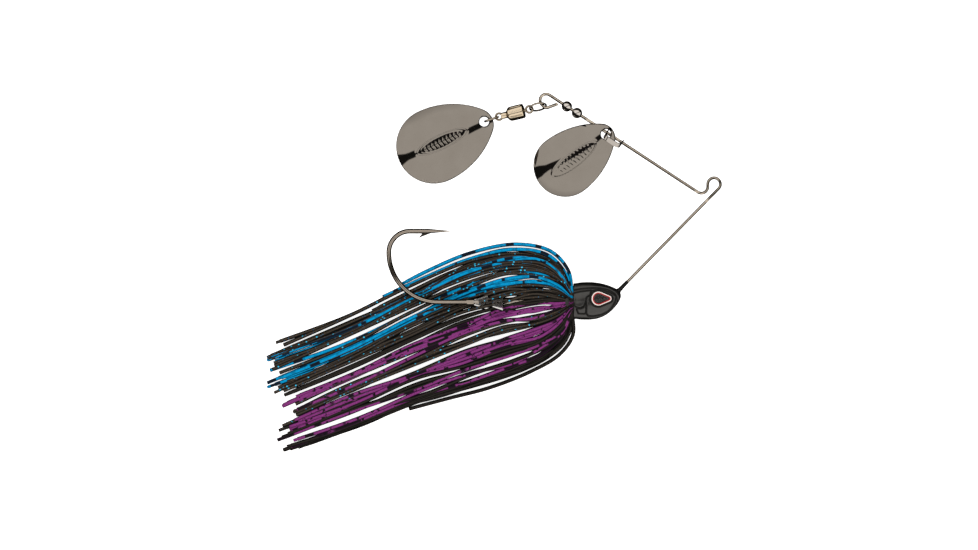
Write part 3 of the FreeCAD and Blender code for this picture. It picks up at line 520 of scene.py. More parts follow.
# Loose strands outside the fan: colour and run.
LOOSE = [
    ("blue", [(0, 2.7), (-1, 9), (-6, 14.5), (-16, 16.5), (-29, 14), (-41, 9), (-53.5, 2.5)]),
    ("blue", [(0, 2.6), (-2, 8.5), (-7, 13.5), (-17, 15), (-30, 12), (-42, 7), (-54, 1.5)]),
    ("flake", [(0, 2.4), (-4, 8), (-10, 12), (-20, 12.5), (-33, 9), (-46, 3), (-60, -4)]),
    ("black", [(0, -2.6), (0.3, -9.5), (-3.5, -15), (-12, -20), (-23.5, -24.5), (-35, -27.5),
               (-50, -31.5)]),
    ("black", [(0, -2.5), (-0.8, -9), (-5, -14), (-14, -19), (-26, -23), (-38, -27), (-51, -30)]),
    ("black", [(0, -2.3), (-2, -8), (-7, -12.5), (-16, -16.5), (-28, -20.5), (-41, -26), (-54, -30)]),
]
DRIFT = 0.05                                 # how far a strand strays across the fan, as a share
WANDER = 0.8                                 # and how far it strays at each knot

# The top of the skirt: along the shank, its height over the floor at its crown and at its two
# edges, and its middle and half width across.
SKIRT_FORM = [
    (4.0, 7.2, 5.4, 0.0, 3.0), (0.0, 7.6, 5.2, 0.0, 5.5), (-3.0, 8.6, 5.1, 0.2, 11.0),
    (-8.0, 9.3, 4.9, 0.0, 16.5), (-15.0, 9.2, 4.5, -2.0, 19.5), (-30.0, 7.7, 3.0, -6.0, 20.0),
    (-50.0, 5.2, 1.6, -13.0, 19.0), (-70.0, 3.9, 1.2, -21.0, 18.0), (-95.0, 3.0, 0.9, -31.0, 17.0),
]
STRAND_WIDTH = 0.94
STRAND_THICK = 0.4
SECTION = 12                                 # points round a strand
SQUARENESS = 0.62
ROOT_RADIUS = 2.75
ROOT_X = 0.35                                # just inside the collar of the head
ROOT_LIMIT = 0.97                            # how far to the side of the collar a root may sit
ROOT_SPREAD = 10.0                           # y of a run near its root that would put it at the side
ROOT_GAP = 0.8                               # least distance from a root to the next point
TIP_TRIM, LOWER_TRIM = 6, 4                  # a tip, and one below it, lose fewer points than this
FREE_AFTER = 9                               # points until a lower strand has left the collar
LEAST_HEIGHT = 0.5
UPRIGHT_AFTER = 14.0                         # from here on a strand lies flat side up
CROWN_AFTER = 7.0                            # and from here on it is at the top of the skirt
LAYER_DEPTH = 0.34
LEVELS = (0.5, 0.08)                         # heights of the strands below, as shares
STEP = 1.15
rng = random.Random(41)


def skirt_form(x):
    for high, low in zip(SKIRT_FORM, SKIRT_FORM[1:]):
        if x >= low[0]:
            t = min(1.0, (high[0] - x) / (high[0] - low[0]))
            return [a + (b - a) * t for a, b in zip(high[1:], low[1:])]
    return SKIRT_FORM[-1][1:]


def skirt_top(x, y):
    crown, edge, middle, half = skirt_form(x)
    share = min(1.0, abs(y - middle) / half)
    return edge + (crown - edge) * math.sqrt(1 - share * share)


# The hook's bend lies over the strands, and the keeper shows between them in two places.
HOOK_LINE = [(-53.0, 10.5), (-51.6, 7.9), (-49.2, 4.8), (-45.6, 1.8), (-40.5, 0.2), (-34.8, -0.1),
             (-28.6, 0.0)]
GAPS = [(-26.3, 1.5, 1.5), (-20.8, -1.5, 1.6)]
HOOK_CLEAR, HOOK_REACH = 3.5, 1.2            # height of the strands under the hook, and how far out
STEEP_CLIMB, EASY_CLIMB = 3.5, 0.6           # how fast they rise beyond that, ahead and behind
GAP_CLEAR, GAP_CLIMB = 5.6, 1.5              # the same at the keeper


def lid(x, y):
    """The greatest height of the strands near the hook's bend and the keeper."""
    climb = STEEP_CLIMB if x > HOOK_LINE[-1][0] else EASY_CLIMB
    height = HOOK_CLEAR + climb * max(0.0, off_line(x, y, HOOK_LINE) - HOOK_REACH)
    for gx, gy, radius in GAPS:
        height = min(height, GAP_CLEAR + GAP_CLIMB * max(0.0, math.hypot(x - gx, y - gy) - radius))
    return height


def strand_section(width, thick):
    """A flat strand's section: a superellipse."""
    out = []
    for k in range(SECTION):
        turn = 2 * math.pi * k / SECTION
        c, s = math.cos(turn), math.sin(turn)
        out.append((width / 2 * math.copysign(abs(c) ** SQUARENESS, c),
                    thick / 2 * math.copysign(abs(s) ** SQUARENESS, s)))
    return out


class StrandBatch:
    """Collects the strands of one colour into one mesh."""

    def __init__(self):
        self.points, self.faces, self.uv, self.edge = [], [], [], []
        self.count = 0

    def add(self, path, width, roll):
        along = tangents(path)
        section = strand_section(width, STRAND_THICK)
        start = len(self.points)
        middle = layout(0, 0, PLANE)
        travelled = 0.0
        shift = self.count * STRAND_LANE + STRAND_LANE / 4
        for i, point in enumerate(path):
            if i:
                travelled += (point - path[i - 1]).length
            away = point - middle
            away.x = 0
            lift = min(1.0, travelled / UPRIGHT_AFTER)
            facing = away.normalized() * (1 - lift) + Vector((0, 0, 1)) * lift
            facing = facing - along[i] * facing.dot(along[i])
            if facing.length < 1e-4:
                facing = along[i].orthogonal()
            facing.normalize()
            facing = Matrix.Rotation(roll * (0.4 + 0.6 * lift), 3, along[i]) @ facing
            side = along[i].cross(facing)
            for x, y in section:
                self.points.append(point + side * x + facing * y)
                self.uv.append((travelled + shift * 3.1, x + shift))
                # across the strand, where its colour gets painted shade at the sides
                self.edge.append((2 * x / width, 0.0))
        self.faces += band_faces(len(path), SECTION, start) + end_faces(len(path), SECTION, start)
        self.count += 1

    def build(self, name):
        return make_mesh(name, self.points, self.faces, {"strand": self.uv, "edge": self.edge})


def fan_run(first, last):
    """A run across the fan's guides, from the share first at the root to the share last at the tip."""
    knots = []
    for place in range(len(GUIDES[0])):
        share = first + (last - first) * place / (len(GUIDES[0]) - 1)
        step = min(max(share, 0.0), 0.9999) * (len(GUIDES) - 1)    # below 1, so a guide follows
        above, below = GUIDES[int(step)][place], GUIDES[int(step) + 1][place]
        point = Vector((*above, 0)).lerp(Vector((*below, 0)), step - int(step))
        if place > 1:
            point += Vector((rng.uniform(-WANDER, WANDER), rng.uniform(-WANDER, WANDER), 0))
        knots.append(point)
    return knots


def rooted(flat):
    """Starts a run seen from above under the collar of the head."""
    share = max(-ROOT_LIMIT, min(ROOT_LIMIT, flat[3].y / ROOT_SPREAD))
    root = Vector((ROOT_X, ROOT_RADIUS * share, 0))
    return [root] + [p for p in flat if (p - root).length > ROOT_GAP]


batches = {colour: StrandBatch() for colour in STRAND_MATS}
colours = [colour for colour, count in FAN for _ in range(count)]
strands_seen = []
for index, colour in enumerate(colours):
    share = (index + 0.5) / len(colours)
    strands_seen.append((colour, fan_run(share, share + rng.uniform(-DRIFT, DRIFT))))
rng.shuffle(strands_seen)
strands_seen += [(colour, [Vector((x, y, 0)) for x, y in run]) for colour, run in LOOSE]
for colour, knots in strands_seen:
    flat = rooted(smooth_path(knots, STEP))
    flat = flat[:len(flat) - rng.randrange(0, TIP_TRIM)]
    layer = rng.uniform(0.0, LAYER_DEPTH)
    path = []
    travelled = 0.0
    for i, point in enumerate(flat):
        if i:
            travelled += (point - flat[i - 1]).length
        top = min(skirt_top(point.x, point.y) - 0.2, lid(point.x, point.y))
        share = min(1.0, travelled / CROWN_AFTER)
        share = share * share * (3 - 2 * share)
        reach = min(abs(flat[0].y), ROOT_RADIUS * ROOT_LIMIT)
        root_z = PLANE + math.sqrt(ROOT_RADIUS ** 2 - reach ** 2)
        z = root_z + (top - layer - root_z) * share
        path.append(layout(point.x, point.y, z))
    batches[colour].add(path, STRAND_WIDTH * rng.uniform(0.94, 1.04), rng.uniform(-0.1, 0.1))
    # The strands below it: the same run, lower down, round the lower side of the collar.
    for level in LEVELS:
        cut_back = rng.randrange(0, LOWER_TRIM)
        under = []
        for i, point in enumerate(path[:len(path) - cut_back]):
            near = max(0.0, 1 - i / FREE_AFTER)
            low = 0.4 + (point.z - 0.9) * level
            mirrored = 2 * PLANE - point.z
            goal = low * (1 - near) + (mirrored + (point.z - mirrored) * level) * near
            under.append(Vector((point.x, point.y, max(LEAST_HEIGHT, goal))))
        batches[colour].add(under, STRAND_WIDTH * (1.2 - 0.2 * level), rng.uniform(-0.2, 0.2))

SKIRT = {
    "blue": ("skirt_blue_strands", "skirt_blue_barred", "strand_blue"),
    "flake": ("skirt_flake_strands", "skirt_black_flake", "strand_flake"),
    "purple": ("skirt_purple_strands", "skirt_purple_barred", "strand_purple"),
    "black": ("skirt_black_strands", "skirt_black", "strand_black"),
}
for colour, (piece_name, cad_node, slot_name) in SKIRT.items():
    strands = batches[colour].build(piece_name)
    strands.visible_glossy = False
    dress(strands, STRAND_MATS[colour], "root", cad_node, slot=slot_name)


# ---- band and keeper

def shank_frame(x, heading=180.0):
    """Places a shape turned round its own X on the shank axis at x."""
    turn = Matrix.Rotation(math.radians(heading), 4, "Z")
    return Matrix.Translation(layout(x, 0, PLANE)) @ turn


def placed(points, place):
    return [place @ Vector(p) for p in points]


band_profile = []
for k in range(17):
    turn = 2 * math.pi * k / 16
    band_profile.append((0.6 + 0.6 * math.cos(turn) * (1 if abs(math.cos(turn)) < 0.9 else 0.97),
                         2.9 + 0.3 * math.sin(turn)))
points, faces = turned(band_profile, 96, lambda x, turn, r: r * (1 + 0.006 * math.sin(turn * 31)))
band = make_mesh("band_ring", placed(points, shank_frame(BAND_REAR, 0.0)), faces)
dress(band, MATS["rubber"], "root", "skirt_band", slot="band_rubber")

KEEPER_X = -15.0
SLEEVE, CONE = 4.6, 4.2
keeper_profile = [
    (0.0, 0.73), (0.0, 1.2), (0.12, 1.3), (SLEEVE - 0.25, 1.3), (SLEEVE, 1.55), (SLEEVE + 0.05, 2.8),
    (SLEEVE + 0.14, 2.95), (SLEEVE + 0.32, 2.92), (SLEEVE + CONE - 0.3, 1.32), (SLEEVE + CONE, 1.3),
    (SLEEVE + CONE + 0.05, 2.5), (SLEEVE + CONE + 0.14, 2.65), (SLEEVE + CONE + 0.32, 2.62),
    (SLEEVE + CONE * 2 - 0.15, 1.25), (SLEEVE + CONE * 2, 1.1), (SLEEVE + CONE * 2, 0.73), (0.0, 0.73),
]
points, faces = turned(keeper_profile, 72)
keeper = make_mesh("keeper_sleeve", placed(points, shank_frame(KEEPER_X)), faces)
bevel = keeper.modifiers.new("edge", "BEVEL")
bevel.width, bevel.segments, bevel.limit_method = 0.00006, 2, "ANGLE"
dress(keeper, MATS["keeper"], "root", "trailer_keeper", slot="keeper_plastic")


# ---- head

# Along the shank: the height of the head's middle, its half height and its half thickness.
HEAD_RINGS = [
    (0.32, 0.25, 4.2, 3.1), (0.4, 0.25, 4.95, 3.9), (1.2, 0.27, 5.1, 4.2), (2.5, 0.3, 5.3, 4.5),
    (4.0, 0.32, 5.36, 4.66), (5.5, 0.34, 5.34, 4.75), (7.0, 0.38, 5.16, 4.72),
    (8.2, 0.47, 4.87, 4.6), (9.4, 0.6, 4.46, 4.3), (10.4, 0.77, 3.98, 3.9), (11.4, 1.0, 3.35, 3.33),
    (12.2, 1.25, 2.75, 2.7), (12.8, 1.44, 2.2, 2.15), (13.3, 1.62, 1.65, 1.6),
    (13.65, 1.73, 1.1, 1.05), (13.9, 1.8, 0.5, 0.45), (13.95, 1.81, 0.05, 0.05),
]
EYE_X, EYE_Y, EYE_FLOOR = 8.3, 1.0, 3.75
EYE_TILT = math.radians(13)
EYE_WIDTH, EYE_LENGTH, EYE_POINT = 3.95, 5.8, 0.85
GILL = [(0.35, 2.5), (2.4, 2.95), (5.3, 3.3), (5.05, 2.25), (4.0, 1.45), (3.75, 0.3), (3.25, -0.95),
        (2.3, -1.55), (1.5, -1.45), (0.7, -0.95), (0.3, 0.6)]
JAW = [(1.35, -2.0), (2.5, -1.95), (3.35, -1.55), (3.8, -0.6), (3.85, -2.8), (3.45, -3.25), (1.8, -3.15)]
CHEEK = [(4.05, 1.1), (4.5, 1.6), (5.3, 1.9), (5.6, 3.1), (7.6, 3.55), (9.6, 3.0), (11.4, 2.4),
         (12.6, 1.7), (12.3, 0.3), (11.5, -1.3), (10.2, -2.6), (8.4, -3.5), (6.0, -3.95),
         (4.6, -3.85), (4.05, -3.1), (4.1, -1.0)]
BROW = [(0.3, 3.45), (2.5, 3.8), (5.5, 4.05), (8.0, 3.98), (10.3, 3.5), (12.0, 2.55), (12.8, 1.6),
        (13.1, 0.5)]


def teardrop(grow, count=72):
    """Outline of the eye: round behind, pointed in front, grown by a margin."""
    big = EYE_WIDTH / 2 + grow
    small = EYE_POINT + grow
    back = EYE_WIDTH / 2 - EYE_LENGTH / 2
    front = EYE_LENGTH / 2 - EYE_POINT
    lean = math.acos((big - small) / (front - back))
    out = []
    rear_count = int(count * 0.6)
    for k in range(rear_count):
        turn = lean + (2 * math.pi - 2 * lean) * k / (rear_count - 1)
        out.append(Vector((back + big * math.cos(turn), big * math.sin(turn))))
    side_count = int(count * 0.12)
    tip_count = count - rear_count - 2 * side_count
    for k in range(1, side_count + 1):
        low = Vector((back + big * math.cos(lean), -big * math.sin(lean)))
        high = Vector((front + small * math.cos(lean), -small * math.sin(lean)))
        out.append(low.lerp(high, k / (side_count + 1)))
    for k in range(tip_count):
        turn = -lean + 2 * lean * k / (tip_count - 1)
        out.append(Vector((front + small * math.cos(turn), small * math.sin(turn))))
    for k in range(1, side_count + 1):
        high = Vector((front + small * math.cos(lean), small * math.sin(lean)))
        low = Vector((back + big * math.cos(lean), big * math.sin(lean)))
        out.append(high.lerp(low, k / (side_count + 1)))
    return out


def signed_distance(x, y, outline):
    """Distance from a closed outline, negative inside."""
    best = 1e9
    inside = False
    count = len(outline)
    for i in range(count):
        ax, ay = outline[i][0], outline[i][1]
        bx, by = outline[(i + 1) % count][0], outline[(i + 1) % count][1]
        ux, uy = bx - ax, by - ay
        length = ux * ux + uy * uy
        t = max(0.0, min(1.0, ((x - ax) * ux + (y - ay) * uy) / length))
        dx, dy = x - ax - t * ux, y - ay - t * uy
        best = min(best, dx * dx + dy * dy)
        if (ay > y) != (by > y) and x < ux * (y - ay) / (by - ay) + ax:
            inside = not inside
    return -math.sqrt(best) if inside else math.sqrt(best)


def groove(distance, depth, width):
    return depth * max(0.0, 1 - abs(distance) / width)


def step_up(distance, width):
    """0 outside, 1 inside, with a smooth wall of the given width round the outline."""
    t = max(0.0, min(1.0, 0.5 - distance / width))
    return t * t * (3 - 2 * t)


EYE_DROP = teardrop(0.0)
ROWS, SIDES = 250, 340
head_points = []
xs = []
for i in range(ROWS):
    share = i / (ROWS - 1)
    eased = 0.5 - 0.5 * math.cos(math.pi * share) if share > 0.5 else share
    xs.append(HEAD_RINGS[0][0] + (HEAD_RINGS[-1][0] - HEAD_RINGS[0][0]) * eased)


def ring_value(x, column):
    """A column of the ring table at x, smooth between its rows."""
    rows = HEAD_RINGS
    for i in range(len(rows) - 1):
        if x <= rows[i + 1][0] or i == len(rows) - 2:
            x0, x1 = rows[i][0], rows[i + 1][0]
            t = (x - x0) / (x1 - x0)
            y0, y1 = rows[i][column], rows[i + 1][column]
            before = rows[max(i - 1, 0)]
            after = rows[min(i + 2, len(rows) - 1)]
            m0 = (y1 - before[column]) / max(x1 - before[0], 1e-6)
            m1 = (after[column] - y0) / max(after[0] - x0, 1e-6)
            span = x1 - x0
            return ((2 * t ** 3 - 3 * t ** 2 + 1) * y0 + (t ** 3 - 2 * t ** 2 + t) * span * m0
                    + (-2 * t ** 3 + 3 * t ** 2) * y1 + (t ** 3 - t ** 2) * span * m1)
    return rows[-1][column]


def relief(x, y):
    """How far the face of the head stands out at a place, seen from the side, and how much of
    that is a recess."""
    gill, jaw, cheek = (signed_distance(x, y, shape) for shape in (GILL, JAW, CHEEK))
    height = 0.3 * step_up(gill, 0.2) + 0.26 * step_up(jaw, 0.2) + 0.4 * step_up(cheek, 0.24)
    eye = signed_distance(x - EYE_X, y - EYE_Y, EYE_DROP)
    cut = max(groove(gill - 0.12, 0.6, 0.34), groove(jaw - 0.12, 0.55, 0.3),
              groove(cheek - 0.12, 0.6, 0.34), groove(off_line(x, y, BROW), 0.6, 0.4),
              groove(eye - 0.3, 0.6, 0.36))
    return height - cut - 0.3 * step_up(eye - 0.5, 0.3), cut / 0.6


def socket_floor(x, y, z):
    """Lowers the face of the head to the floor of the eye socket inside the eye's outline."""
    floor_z = EYE_FLOOR - (x - EYE_X) * math.tan(EYE_TILT) - 0.03
    inside = step_up(signed_distance(x - EYE_X, y - EYE_Y, EYE_DROP) - 0.1, 0.1)
    return z + (floor_z - z) * inside


recesses = []
for x in xs:
    middle, tall, thick = (ring_value(x, c) for c in (1, 2, 3))
    for k in range(SIDES):
        turn = 2 * math.pi * k / SIDES
        c, s = math.cos(turn), math.sin(turn)
        y = middle + tall * math.copysign(abs(c) ** 0.94, c)
        z = thick * math.copysign(abs(s) ** 0.8, s) * (0.93 + 0.07 * abs(c))
        face_on = min(1.0, max(0.0, (abs(s) - 0.2) / 0.35))
        fade = face_on * min(1.0, (13.5 - x) / 1.2) if x < 13.5 else 0.0
        recess = 0.0
        if fade > 0:
            raised, recess = relief(x, y)
            recess *= fade
            z = math.copysign(socket_floor(x, y, abs(z) + raised * fade), z)
        head_points.append(layout(x, y, PLANE + z))
        recesses.append((recess, 0.0))
head_faces = band_faces(ROWS, SIDES) + end_faces(ROWS, SIDES)
head = make_mesh("head_casting", head_points, head_faces, {"recess": recesses})
dress(head, MATS["paint"], "root", "head", slot="head_paint")

# The collar the skirt sits on, and the neck of paint round the leg of the wire.
collar_profile = [(0.0, 0.75), (0.0, 1.95), (0.12, 2.1), (0.8, 2.5), (0.95, 2.48), (1.05, 2.12),
                  (1.3, 2.08), (5.5, 2.12), (5.7, 2.2), (5.9, 2.3)]
points, faces = turned(collar_profile, 64)
collar = make_mesh("head_collar", placed(points, shank_frame(-4.9, 0.0)), faces)
dress(collar, MATS["paint"], "root")

LEG_HEADING = 45.6
NECK_LENGTH, NECK_ROWS = 5.55, 40
neck_start = layout(12.0, 1.93, PLANE)
leg = Vector((math.cos(math.radians(LEG_HEADING)), math.sin(math.radians(LEG_HEADING)), 0))
neck_path, neck_radii = [], []
for i in range(NECK_ROWS):
    travelled = NECK_LENGTH * i / (NECK_ROWS - 1)
    neck_path.append(neck_start + leg * travelled)
    base = 1.25 * math.exp(-travelled / 0.9) + 0.62
    taper = 0.52 + 0.1 * max(0.0, 1 - travelled / 5.4)
    ripple = 0.015 * math.sin(travelled * 5.1) + 0.01 * math.sin(travelled * 11.7)
    end = 1.0 if travelled < 5.3 else max(0.86, 1 - (travelled - 5.3) * 0.5)
    neck_radii.append(((base if travelled < 2.0 else taper + 0.08 * math.exp(-(travelled - 2.0)))
                       + ripple) * end)
points, faces = tube(neck_path, neck_radii, 36)
neck = make_mesh("head_neck_paint", points, faces)
dress(neck, MATS["thin_paint"], "root")


# ---- eyes

def eye_place(side):
    """Frame of an eye: X towards the nose, Z out of the head."""
    forward = Vector((math.cos(EYE_TILT), 0, -side * math.sin(EYE_TILT)))
    up = Vector((0, side, 0))
    out = forward.cross(up)
    place = Matrix((forward, up, out)).transposed().to_4x4()
    return Matrix.Translation(layout(EYE_X, EYE_Y, PLANE + side * EYE_FLOOR)) @ place


def drop_disc(heights):
    """A disc of the drop's outline. heights runs from its rim to its middle."""
    outline = teardrop(0.0)
    centre = Vector((-0.3, 0.0))
    points, prints = [], []
    size = len(outline)
    rings = len(heights) - 1
    for i, height in enumerate(heights[:-1]):
        for spot in outline:
            flat = centre + (spot - centre) * (1 - i / rings)
            points.append(Vector((flat.x, flat.y, height)))
            prints.append((max(0.0, -signed_distance(flat.x, flat.y, outline)), flat.x * 0.2))
    points.append(Vector((centre.x, centre.y, heights[-1])))
    prints.append((-signed_distance(centre.x, centre.y, outline), 0.0))
    faces = band_faces(rings, size)
    last = (rings - 1) * size
    for k in range(size):
        faces.append((last + k, last + (k + 1) % size, rings * size))
    return points, prints, faces, size


for word, side in (("upper", 1), ("lower", -1)):
    place = eye_place(side)
    points, prints, faces, _ = drop_disc([0.13] + [0.15] * 40)
    foil = make_mesh(f"eye_print_{word}", placed(points, place), faces, {"print": prints})
    dress(foil, MATS["print"], "root", f"eye_foil_{word}", slot="eye_print")

    dome = [0.17]
    for k in range(30):
        share = k / 29
        dome.append(0.24 + 0.58 * math.sqrt(1 - (1 - share) ** 2.2))
    points, _, faces, size = drop_disc(dome)
    faces.append(tuple(reversed(range(size))))
    lens = make_mesh(f"eye_lens_{word}", placed(points, place), faces)
    lens.data.polygons[-1].use_smooth = False
    lens.visible_shadow = False
    lens.visible_diffuse = False
    dress(lens, MATS["resin"], "root", f"eye_dome_{word}", slot="eye_resin")


# ---- blades

class Sheet:
    """The dished sheet of a blade: height of its middle surface over the plane of its hole."""

    def __init__(self, far_end, near_end, nose, half_width, widest, far_bow, near_bow, cross_bow,
                 panel):
        self.panel = panel
        self.far_end, self.near_end, self.nose = far_end, near_end, nose
        self.half_width, self.widest = half_width, widest
        self.far_bow, self.near_bow, self.cross_bow = far_bow, near_bow, cross_bow
        self.slope = math.radians(19.0)
        self.bend_start = widest - near_bow * math.sin(self.slope)
        apex = near_bow * (1 - math.cos(self.slope)) + self.bend_start * math.tan(self.slope)
        self.axis_depth = cross_bow - apex

    def profile(self, x):
        if x >= self.widest:
            return self.cross_bow - self.far_bow + math.sqrt(self.far_bow ** 2 - (x - self.widest) ** 2)
        if x >= self.bend_start:
            return (self.cross_bow - self.near_bow
                    + math.sqrt(self.near_bow ** 2 - (x - self.widest) ** 2))
        drop = self.near_bow * (1 - math.cos(self.slope))
        return self.cross_bow - drop - (self.bend_start - x) * math.tan(self.slope)

    def height(self, x, y):
        radius = self.profile(x)
        return math.sqrt(max(radius * radius - y * y, 0.01)) - self.axis_depth

    def outline(self, count=200):
        """Closed outline of the blade, anticlockwise from the far end."""
        wide, nose = self.half_width, self.nose
        nose_x = nose - self.near_end
        middle = self.far_end - wide
        gap = middle - nose_x
        drop = (gap * gap + wide ** 2 - nose ** 2) / (2 * (wide - nose))
        side_y = wide - drop
        lean = math.atan2(-side_y, nose_x - middle)
        half = []
        for k in range(40):
            turn = math.pi / 2 * k / 40
            half.append((middle + wide * math.cos(turn), wide * math.sin(turn)))
        for k in range(50):
            turn = math.pi / 2 + (lean - math.pi / 2) * k / 50
            half.append((middle + drop * math.cos(turn), side_y + drop * math.sin(turn)))
        for k in range(21):
            turn = lean + (math.pi - lean) * k / 20
            half.append((nose_x + nose * math.cos(turn), nose * math.sin(turn)))
        other = [(x, -y) for x, y in reversed(half[1:-1])]
        return [Vector(p) for p in half + other]


HOLE_RADIUS = 1.5
HOLE_SIDES = 48
SHEET_THICK = 0.55
GRID, COARSE = 0.13, 3                       # mesh spacing on the emblem, and its multiple elsewhere
EDGE_PUSH, HOLE_PUSH = 0.2, 0.12             # how far the rounded rims stand out
EMBLEM_LENGTH, EMBLEM_WIDTH = 15.6, 4.3


def emblem(x, y, cx, sheet):
    """A plain stamped emblem: an oval rim, and a row of chevrons on the panel inside."""
    u, v = (x - cx) / (EMBLEM_LENGTH / 2), y / (EMBLEM_WIDTH / 2)
    r = math.hypot(u, v)
    if r > 1.3:
        return 0.0
    reach = (r - 1.0) * EMBLEM_WIDTH / 2 / math.sqrt(0.08 + 0.92 * (v / max(r, 0.01)) ** 2) ** 0.5
    rim = 0.13 * math.exp(-(reach / 0.17) ** 2)
    inside = max(0.0, min(1.0, (0.84 - r) / 0.1))
    along = (x - cx) + 0.55 * abs(y) - 0.18 * y * y
    lane = (along / 1.15) % 1.0 - 0.5
    chevron = math.exp(-(lane * 1.15 / 0.2) ** 2)
    panel = sheet.panel * (sheet.height(x, 0) - sheet.height(x, y))
    return rim + inside * (0.1 * chevron + panel)


def make_blade(name, sheet, place, emblem_x):
    """A blade with a stamped emblem, a hole at its origin and a rounded rim."""
    outline = sheet.outline()
    hole = [Vector((HOLE_RADIUS * math.cos(2 * math.pi * k / HOLE_SIDES),
                    HOLE_RADIUS * math.sin(2 * math.pi * k / HOLE_SIDES))) for k in range(HOLE_SIDES)]
    flat = list(outline)
    edges = [(i, (i + 1) % len(outline)) for i in range(len(outline))]
    start = len(flat)
    flat += hole
    edges += [(start + i, start + (i + 1) % HOLE_SIDES) for i in range(HOLE_SIDES)]
    x_count = int((sheet.far_end + sheet.near_end) / GRID)
    y_count = int(sheet.half_width * 2 / GRID)
    for i in range(x_count + 1):
        for j in range(y_count + 1):
            x = -sheet.near_end + i * GRID + (GRID / 2 if j % 2 else 0)
            y = -sheet.half_width + j * GRID
            reach = math.hypot((x - emblem_x) / (EMBLEM_LENGTH / 2), y / (EMBLEM_WIDTH / 2))
            if reach > 1.35 and (i % COARSE or j % COARSE):
                continue
            if math.hypot(x, y) < HOLE_RADIUS + 0.18:
                continue
            if signed_distance(x, y, outline) > -0.16:
                continue
            flat.append(Vector((x, y)))
    verts, _, tris, _, _, _ = geometry.delaunay_2d_cdt(flat, edges, [], 1, 1e-5)
    kept = []
    for tri in tris:
        cx = sum(verts[i].x for i in tri) / 3
        cy = sum(verts[i].y for i in tri) / 3
        if math.hypot(cx, cy) > HOLE_RADIUS * 0.998:
            kept.append(tuple(tri))

    def surface(x, y, side):
        e = 0.02
        h = sheet.height(x, y)
        dx = (sheet.height(x + e, y) - sheet.height(x - e, y)) / (2 * e)
        dy = (sheet.height(x, y + e) - sheet.height(x, y - e)) / (2 * e)
        normal = Vector((-dx, -dy, 1)).normalized()
        raised = emblem(x, y, emblem_x, sheet)
        return Vector((x, y, h)) + normal * (side * SHEET_THICK / 2 + raised)

    count = len(verts)
    points = [surface(v.x, v.y, 1) for v in verts] + [surface(v.x, v.y, -1) for v in verts]
    faces = kept + [tuple(reversed([i + count for i in t])) for t in kept]
    used = {pair: True for tri in kept for pair in zip(tri, tri[1:] + tri[:1])}
    rim = [(a, b) for (a, b) in used if (b, a) not in used]
    mids = {}
    for a, b in rim:
        for i in (a, b):
            if i in mids:
                continue
            v = verts[i]
            top, bottom = points[i], points[i + count]
            centre = (top + bottom) / 2
            hole_side = math.hypot(v.x, v.y) < HOLE_RADIUS * 1.05
            push = Vector((v.x, v.y, 0)).normalized() * -1 if hole_side else None
            if push is None:
                e = 0.03
                gx = signed_distance(v.x + e, v.y, outline) - signed_distance(v.x - e, v.y, outline)
                gy = signed_distance(v.x, v.y + e, outline) - signed_distance(v.x, v.y - e, outline)
                push = Vector((gx, gy, 0)).normalized()
            mids[i] = len(points)
            points.append(centre + push * (HOLE_PUSH if hole_side else EDGE_PUSH))
    for a, b in rim:
        faces.append((b, a, mids[a], mids[b]))
        faces.append((mids[b], mids[a], a + count, b + count))
    on_rim = set(mids) | {i + count for i in mids} | set(mids.values())
    # the brink map marks the rim, where the blade's colour gets painted shade
    rim_shade_values = [(1.0 if i in on_rim else 0.0, 0.0) for i in range(len(points))]
    made = make_mesh(name, placed(points, place), faces, {"brink": rim_shade_values})
    brink = {(min(a, b) + low, max(a, b) + low) for a, b in rim for low in (0, count)}
    for edge in made.data.edges:
        if tuple(sorted(edge.vertices)) in brink:
            edge.use_edge_sharp = True
    return made


def heading_matrix(origin, heading, slope, roll=0.0):
    """X along a heading that falls by slope, Y level and then rolled, Z above the sheet."""
    h, s = math.radians(heading), math.radians(slope)
    forward = Vector((math.cos(s) * math.cos(h), math.cos(s) * math.sin(h), -math.sin(s)))
    level = Vector((0, 0, 1)).cross(forward).normalized()
    r = math.radians(roll)
    side = level * math.cos(r) + forward.cross(level) * math.sin(r)
    up = forward.cross(side)
    return Matrix.Translation(origin) @ Matrix((forward, side, up)).transposed().to_4x4()


LARGE = Sheet(26.6, 2.3, 4.7, 10.6, 16.0, 18.0, 30.0, 15.8, 1.0)
SMALL = Sheet(24.0, 2.05, 3.8, 8.8, 14.7, 16.0, 26.0, 13.5, 0.0)
WEB = (HOLE_RADIUS + 2.3) / 2
large_pivot = Vector(JOINTS["blade_large_swing"]["pos_m"]) / MM
large_place = heading_matrix(large_pivot, 205.5, 4.7)
large_place = large_place @ Matrix.Translation((WEB, 0, 0))
small_pivot = Vector(JOINTS["blade_small_swing"]["pos_m"]) / MM
small_place = heading_matrix(small_pivot, 217.5, 15.85, -4)
large_blade = make_blade("blade_large_sheet", LARGE, large_place, 13.2)
dress(large_blade, MATS["blade"], "blade_large", "blade_large", slot="blade_nickel")
small_blade = make_blade("blade_small_sheet", SMALL, small_place, 11.1)
dress(small_blade, MATS["blade"], "blade_small", "blade_small", slot="blade_nickel")


# ---- swivel barrel

def fluted(x, turn, radius):
    """Shallow flutes along the body of the barrel."""
    along = min(1.0, max(0.0, (x - 1.95) / 0.25)) * min(1.0, max(0.0, (5.75 - x) / 0.5))
    lane = (turn * 9 / (2 * math.pi)) % 1.0 - 0.5
    return radius - 0.16 * along * math.exp(-(lane / 0.11) ** 2) if radius > 1.7 else radius


